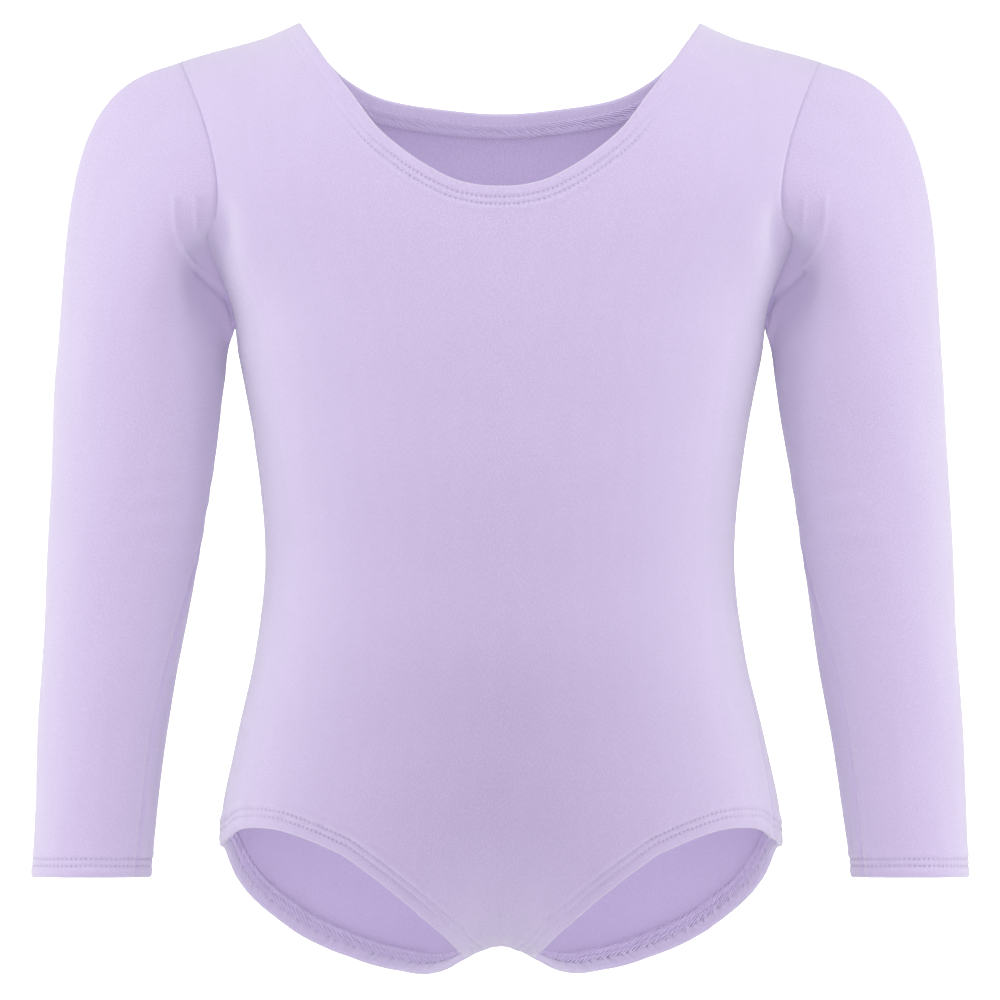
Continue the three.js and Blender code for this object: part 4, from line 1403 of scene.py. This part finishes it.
class Trunk:
    """The panels, the crotch and every seam and hem on them."""

    def __init__(self, maker: Maker) -> None:
        """Makes the trunk.

        Args:
            maker: Shared makers.
        """
        self.maker = maker
        self.extra: dict[Face, list[bpy.types.Object]] = {Face.FRONT: [], Face.BACK: []}
        self.panels = {face: self._panel(face) for face in Face}
        neck = HemSet(maker, self._ring("neck", Side.LEFT), "neck", "neck_elastic")
        self.extra[Face.FRONT] += neck.parts
        for side in Side:
            leg = HemSet(maker, self._ring("leg", side), f"{side.word}_leg", f"{side.word}_leg_elastic")
            self.extra[Face.BACK] += leg.parts
            self.extra[Face.BACK] += [self._seam(side, "side"), self._seam(side, "shoulder"), self._armhole(side)]
        self.extra[Face.FRONT] += [self._lining(), self._crotch_seam()]
        for obj in [*self.panels.values(), *self.extra[Face.FRONT], *self.extra[Face.BACK]]:
            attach(obj, "trunk")
        sizes = {Face.FRONT: ((0.30, 0.40), 0.088), Face.BACK: ((0.30, 0.43), 0.100)}
        for face, (flat, area) in sizes.items():
            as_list(self.extra[face])

    def _panel(self, face: Face) -> bpy.types.Object:
        """The front or back panel."""
        cloth = self.maker.cloth
        name = "front_panel" if face is Face.FRONT else "back_panel"
        obj = Cloths.shell(name, cloth.layer(face, 0.0), cloth.layer(face, -CLOTH), cloth.grids(face),
                           cloth.flat(face), cloth.fields(face))
        return self.maker.finish(obj, JERSEY, name, marked=True)

    def _ring(self, edge: str, side: Side) -> Track:
        """The whole neck edge, or one leg's whole edge, as one ring.

        Args:
            edge: "neck" or "leg".
            side: Which leg.

        Returns:
            The ring.
        """
        cloth = self.maker.cloth
        halves = cloth.halves

        def run(face: Face, on: Side, d: float, out: float) -> Array:
            """One half panel's stretch of the edge."""
            band = getattr(halves[face], edge)
            count = len(band.along)
            hem = np.full(count, max(d, 0.0) if out > -0.7 else INNER)
            fields = (hem, band.along, np.full(count, edge == "leg"))
            return cloth.spots(band.at(np.full(count, d)), face, on, fields, out)

        def reader(d: float, out: float) -> Array:
            """Points of the run at a distance in and a distance out."""
            if edge == "leg":
                return np.vstack([run(Face.FRONT, side, d, out), run(Face.BACK, side, d, out)[::-1]])
            parts = [run(Face.FRONT, Side.LEFT, d, out), run(Face.BACK, Side.LEFT, d, out)[::-1],
                     run(Face.BACK, Side.RIGHT, d, out)[1:], run(Face.FRONT, Side.RIGHT, d, out)[:0:-1]]
            return np.vstack(parts)

        return Track(reader, True)

    def _seam(self, side: Side, which: str) -> bpy.types.Object:
        """The overlocked allowance of a side or shoulder seam, pressed to the back.

        Args:
            side: The wearer's left or right.
            which: "side" or "shoulder".

        Returns:
            The allowance.
        """
        half = self.maker.cloth.halves[Face.BACK]
        line = half.side_line if which == "side" else half.shoulder_line
        points = self.maker.form.point(line)
        along = lengths(points)
        keep = np.linspace(0.055 if which == "side" else 0.02, 0.985 if which == "side" else 0.8, 90)
        places = resample(line, along, keep)
        tangent = np.gradient(self.maker.form.point(places), axis=0)
        normal = self.maker.form.normal(places)
        way = np.cross(normal, tangent)
        way /= np.linalg.norm(way, axis=1, keepdims=True)
        way *= np.sign(way[:, 1:2].mean())
        middle = self.maker.form.point(places)

        def reader(d: float, out: float) -> Array:
            """Points of the run at a distance in and a distance out."""
            return (middle + way * d + normal * (out + STAND)) * [side.value, 1, 1]

        return self._overlocked(Track(reader, False), f"{side.word}_{which}_seam")

    def _overlocked(self, track: Track, name: str) -> bpy.types.Object:
        """A pressed allowance with the overlock thread round it."""
        section = (
            (0.4, -1.5), (3, -1.45), (6, -1.5), (6.3, -2.2), (6, -2.9), (3, -2.95), (0.4, -2.9), (0.1, -2.2))
        strip = track.bar(name, section)
        thread = track.looper(name + "_thread", 0.6, 6.4, -3.05, 1.3)
        Joiner.join(strip, thread)
        return self.maker.finish(strip, SEAM, name)

    def _armhole(self, side: Side) -> bpy.types.Object:
        """The armhole's overlocked allowance, lying inside the sleeve head.

        Args:
            side: The wearer's left or right.

        Returns:
            The allowance.
        """
        sleeve = self.maker.sleeve
        rows, _, _ = sleeve.rows()
        normals = sleeve.normals(rows)[:20]
        rows = rows[:20]
        strides = np.linalg.norm(np.diff(rows, axis=0), axis=-1)
        steps = np.cumsum(np.concatenate([np.zeros((1, sleeve.AROUND)), strides]), axis=0)

        def reader(d: float, out: float) -> Array:
            """Points of the run at a distance in and a distance out."""
            layer = rows + normals * (out + STAND)
            points = np.array([[np.interp(max(d, 0), steps[:, k], layer[:, k, c]) for c in range(3)]
                               for k in range(sleeve.AROUND)])
            return points * [side.value, 1, 1]

        return self._overlocked(Track(reader, True), f"{side.word}_armhole_seam")

    def _lining(self) -> bpy.types.Object:
        """The crotch lining: a strip inside the front and back at the crotch, wider away from it."""
        form = self.maker.form
        low = -form.trunk_span - form.seat_span
        reach = np.concatenate([np.linspace(46, 0, 40), np.linspace(0, 62, 50)[1:]])
        faces = [Face.FRONT] * 40 + [Face.BACK] * 49
        across = np.linspace(-1, 1, 25)
        layers = []
        for out in (-3.5, -4.3):
            rows = []
            for distance, face in zip(reach, faces):
                half = 13.0 + 7.5 * ease(np.array(distance), 8, 46)
                x = half * across
                up = np.full_like(x, low + distance)
                level, _ = form.level_at(np.abs(x), up)
                side = np.clip(np.abs(x) / form.half_width(level), 0, 1) ** (form.section_power / 2)
                angle = np.degrees(np.arcsin(side))
                places = np.stack([180 - angle if face is Face.BACK else angle, up], -1)
                p, n = form.point(places), form.normal(places)
                points = p + n * (out + STAND + 0.15 * np.sin(distance / 3.1 + across * 2))[:, None]
                rows.append(points * np.stack([np.sign(across), np.ones(25), np.ones(25)], -1))
            layers.append(np.array(rows))
        uv = np.stack(np.meshgrid(across * 18, np.concatenate([-reach[:40], reach[40:]])), -1)
        index = np.arange(len(reach) * len(across)).reshape(len(reach), -1)
        obj = Cloths.shell("crotch_lining", layers[0].reshape(-1, 3), layers[1].reshape(-1, 3), [index],
                           uv.reshape(-1, 2), {})
        return self.maker.finish(obj, LINING, "crotch_lining")

    def _crotch_seam(self) -> bpy.types.Object:
        """The short overlocked seam across the crotch."""
        form = self.maker.form
        low = -form.trunk_span - form.seat_span
        x = np.linspace(-11, 11, 40)
        level, _ = form.level_at(np.abs(x), np.full_like(x, low))
        side = np.clip(np.abs(x) / form.half_width(level), 0, 1) ** (form.section_power / 2)
        angle = np.degrees(np.arcsin(side))
        sign = np.stack([np.where(x < 0, -1.0, 1.0), np.ones(40), np.ones(40)], -1)

        def reader(d: float, out: float) -> Array:
            """Points of the run at a distance in and a distance out."""
            places = np.stack([180 - angle, np.full_like(x, low + d)], -1)
            return (form.point(places) + form.normal(places) * (out + STAND)) * sign

        section = ((0.4, -1.1), (5.6, -1.1), (5.8, -2.1), (5.6, -3.1), (0.4, -3.1))
        strip = Track(reader, False).bar("crotch_seam", section)
        return self.maker.finish(strip, SEAM, "crotch_seam")


class Joiner:
    """Joins meshes."""

    @staticmethod
    def join(main: bpy.types.Object, other: bpy.types.Object) -> None:
        """Adds one mesh to another and removes it."""
        bpy.ops.object.select_all(action="DESELECT")
        other.select_set(True)
        main.select_set(True)
        bpy.context.view_layer.objects.active = main
        bpy.ops.object.join()


class Sleeve:
    """One sleeve: two lengths of jersey, its underarm seam and the cuff's hem."""

    def __init__(self, maker: Maker, side: Side) -> None:
        """Makes the sleeve.

        Args:
            maker: Shared makers.
            side: The wearer's left or right.
        """
        self.maker, self.side, self.form = maker, side, maker.sleeve
        word = side.word
        self.rows, self.hem, parted = self.form.rows()
        cut = int(parted)
        cloth = f"{word}_sleeve_"
        upper = self._length(f"{word}_upper_sleeve", slice(0, cut + 1), cloth + "cap", cloth + "upper")
        lower = self._length(f"{word}_lower_sleeve", slice(cut, None), cloth + "elbow", cloth + "lower")
        last = len(self.rows) - 1
        seams = {
            "cap": self._seam("cap", 8, cut - 20), "upper": self._seam("upper", cut - 19, cut - 1),
            "elbow": self._seam("elbow", cut + 1, cut + 39), "lower": self._seam("lower", cut + 40, last - 22)}
        cuff = HemSet(maker, self._cuff_track(), f"{word}_cuff", None)
        for obj in (upper, seams["cap"], seams["upper"]):
            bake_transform(obj)
        for obj in (lower, seams["elbow"], seams["lower"]):
            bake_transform(obj)
        for obj in cuff.parts:
            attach(obj, f"{word}_lower_sleeve")
        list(cuff.parts)

    def _length(self, name: str, part: slice, *nodes: str) -> bpy.types.Object:
        """One length of the sleeve's cloth, standing for its nodes.

        Args:
            name: The piece's name.
            part: Its rows.
            nodes: The nodes that it stands for.

        Returns:
            The piece.
        """
        outer = self.form.shell(self.side, 0.0, part, self.rows, self.hem)
        inner = self.form.shell(self.side, -CLOTH, part, self.rows, self.hem)
        down = lengths(self.rows[:, 0])[part]
        around = np.abs(np.arange(self.form.AROUND) - self.form.AROUND / 2) * 2 * math.pi * 30 / self.form.AROUND
        uv = np.stack(np.broadcast_arrays(around[None, :], -down[:, None]), -1)
        hem = np.broadcast_to(self.hem[part][:, None], outer.shape[:2])
        round_cuff = np.arange(self.form.AROUND)[None] * 2 * math.pi * 24.5 / self.form.AROUND
        along = np.broadcast_to(round_cuff, outer.shape[:2])
        index = np.arange(hem.size).reshape(hem.shape)
        index = np.hstack([index, index[:, :1]])
        obj = Cloths.shell(name, outer.reshape(-1, 3), inner.reshape(-1, 3), [index], uv.reshape(-1, 2),
                           {"hem": hem, "along": along, "marked": np.ones(hem.shape)})
        return self.maker.finish(obj, JERSEY, *nodes, marked=True)

    def _cuff_track(self) -> Track:
        """The cuff's edge as one ring."""
        form, side = self.form, self.side

        def reader(d: float, out: float) -> Array:
            """Points of the run at a distance in and a distance out."""
            down = np.array([form.END - d])
            ring, normal = form.ring(down)[0], form.ring_normal(down)[0]
            signed = ring * [side.value, 1, 1]
            rise = form.relief(signed[None], np.full((1, form.AROUND), max(d, 0.0) if out > -0.7 else INNER))[0]
            return (ring + normal * (rise + out + STAND)[:, None]) * [side.value, 1, 1]

        return Track(reader, True)

    def _seam(self, which: str, first: int, last: int) -> bpy.types.Object:
        """The underarm seam's allowance, pressed to the back inside the sleeve.

        Args:
            which: The length's word in the node's name.
            first: Its first row.
            last: Its last row.

        Returns:
            The allowance.
        """
        rows = self.rows[first : last + 1]
        normals = self.form.normals(self.rows)[first : last + 1]
        k = self.form.AROUND // 2
        way = rows[:, k - 3] - rows[:, k]
        way /= np.linalg.norm(way, axis=1, keepdims=True)
        hem = self.hem[:, None] + np.zeros(self.rows.shape[:2])
        rise = self.form.relief(self.rows * [self.side.value, 1, 1], hem)[first : last + 1, k]

        def reader(d: float, out: float) -> Array:
            """Points of the run at a distance in and a distance out."""
            points = rows[:, k] + way * d + normals[:, k] * (out + STAND + rise)[:, None]
            return points * [self.side.value, 1, 1]

        name = f"{self.side.word}_sleeve_seam_{which}"
        strip = Track(reader, False).bar(name, ((0.4, -1.3), (5, -1.5), (5.2, -2.2), (5, -2.9), (0.4, -2.7)))
        return self.maker.finish(strip, SEAM, name)


# ---- Studio ---------------------------------------------------------------------------------------------


@dataclass(frozen=True)
class Lamp:
    """A soft box: where it stands, its size in metres and its strength."""

    name: str
    place: tuple[float, float, float]
    width: float
    height: float
    power: float


@dataclass
class Studio:
    """A pale sweep, soft boxes at both sides and a camera straight in front."""

    distance: float = 12.0
    level: float = -0.2151
    seen_width: float = 0.450
    lamps: tuple[Lamp, ...] = (
        Lamp("left_softbox", (2.1, -0.56, 0.18), 1.4, 2.2, 30.5),
        Lamp("right_softbox", (-2.1, -0.56, 0.18), 1.4, 2.2, 30.5),
        Lamp("top_softbox", (0.0, -0.45, 1.3), 1.2, 0.5, 8.6),
        Lamp("front_fill", (0.0, -2.6, 0.0), 1.0, 0.8, 11.8),
    )
    inner_lamp: Lamp = Lamp("inner_fill", (0.0, -0.02, -0.22), 0.19, 0.38, 0.12)
    wall_lamp: Lamp = Lamp("wall_lamp", (0.0, 0.9, 0.1), 1.2, 1.2, 44.0)
    sky: float = 0.38

    def build(self) -> None:
        """Sets up the sweep, lights, camera and surroundings."""
        self._sweep()
        for lamp in self.lamps:
            self._lamp(lamp, (0, 0, self.level))
        self._lamp(self.inner_lamp, (0, 1, -0.2))
        bpy.context.object.visible_camera = False
        self._lamp(self.wall_lamp, (0, 2.4, -0.1))
        bpy.context.object.visible_camera = False
        bpy.ops.object.camera_add(location=(0, -self.distance, self.level), rotation=(math.pi / 2, 0, 0))
        camera = bpy.context.object
        camera.name = "camera"
        camera.data.sensor_width = 36
        camera.data.lens = 36 * self.distance / self.seen_width
        camera.data.clip_end = 80
        bpy.context.scene.camera = camera
        world = bpy.data.worlds.new("studio_air")
        world.use_nodes = True
        ground = world.node_tree.nodes["Background"]
        ground.inputs["Color"].default_value = (0.92, 0.77, 1.09, 1)
        ground.inputs["Strength"].default_value = self.sky
        bpy.context.scene.world = world
        bpy.context.scene.view_settings.view_transform = "Standard"

    def _lamp(self, lamp: Lamp, aim: tuple[float, float, float]) -> None:
        """Places one soft box, turned towards a point.

        Args:
            lamp: The soft box.
            aim: The point.
        """
        bpy.ops.object.light_add(type="AREA", location=lamp.place)
        obj = bpy.context.object
        obj.name = lamp.name
        obj.data.shape = "RECTANGLE"
        obj.data.size, obj.data.size_y = lamp.width, lamp.height
        obj.data.energy = lamp.power
        obj.data.color = (0.94, 1.0, 0.86)
        target = Vector(aim) - Vector(lamp.place)
        obj.rotation_euler = target.to_track_quat("-Z", "Y").to_euler()

    def _sweep(self) -> None:
        """A pale floor that curves up into a wall behind the garment."""
        floor, back, radius, wide = -0.47, 2.4, 1.0, 4.0
        profile = [(-14.0, floor)] + [
            (back - radius + radius * math.sin(a), floor + radius - radius * math.cos(a))
            for a in np.linspace(0, math.pi / 2, 24)] + [(back, 4.0)]
        points = [(x, y, z) for y, z in profile for x in (-wide, wide)]
        faces = [(2 * i, 2 * i + 1, 2 * i + 3, 2 * i + 2) for i in range(len(profile) - 1)]
        mesh = bpy.data.meshes.new("pale_sweep")
        mesh.from_pydata(points, [], faces)
        mesh.polygons.foreach_set("use_smooth", [True] * len(mesh.polygons))
        obj = bpy.data.objects.new("pale_sweep", mesh)
        bpy.context.scene.collection.objects.link(obj)
        material = bpy.data.materials.new("pale_paper")
        material.use_nodes = True
        shader = material.node_tree.nodes["Principled BSDF"]
        shader.inputs["Base Color"].default_value = (0.9, 0.9, 0.9, 1)
        shader.inputs["Roughness"].default_value = 1.0
        shader.inputs["Emission Color"].default_value = (1, 1, 1, 1)
        shader.inputs["Emission Strength"].default_value = 0.08
        tree = material.node_tree
        side = tree.nodes.new("ShaderNodeNewGeometry")
        clear = tree.nodes.new("ShaderNodeBsdfTransparent")
        either = tree.nodes.new("ShaderNodeMixShader")
        tree.links.new(side.outputs["Backfacing"], either.inputs[0])
        tree.links.new(shader.outputs[0], either.inputs[1])
        tree.links.new(clear.outputs[0], either.inputs[2])
        tree.links.new(either.outputs[0], tree.nodes["Material Output"].inputs["Surface"])
        mesh.materials.append(material)
        obj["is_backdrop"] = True
        self._flag()

    def _flag(self) -> None:
        """A dark card low in front, which keeps the middle of the belly in soft shade."""
        bpy.ops.mesh.primitive_plane_add(size=1, location=(0, -0.42, -0.36), rotation=(math.pi / 2, 0, 0))
        card = bpy.context.object
        card.name = "shade_card"
        card.scale = (0.14, 0.30, 1)
        material = bpy.data.materials.new("dark_card")
        material.use_nodes = True
        material.node_tree.nodes["Principled BSDF"].inputs["Base Color"].default_value = (0.02, 0.02, 0.02, 1)
        card.data.materials.append(material)
        card.visible_camera = False
        card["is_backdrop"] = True


def corners(box: Sequence[Sequence[float]]) -> list[list[float]]:
    """A box's two corners as plain lists."""
    return [list(map(float, corner)) for corner in box]


def main() -> None:
    """Builds the leotard and the studio."""
    logging.basicConfig(level=logging.INFO, format="%(message)s")
    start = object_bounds()
    form = BodyForm()
    cloth = TrunkCloth(form)
    maker = Maker(form, cloth, SleeveForm(cloth), Shaders(), Stitching())
    Trunk(maker)
    for side in Side:
        Sleeve(maker, side)
    Studio().build()
    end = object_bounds()
    {"cad": corners(start), "visual": corners(end)}


if __name__ == "__main__":
    main()
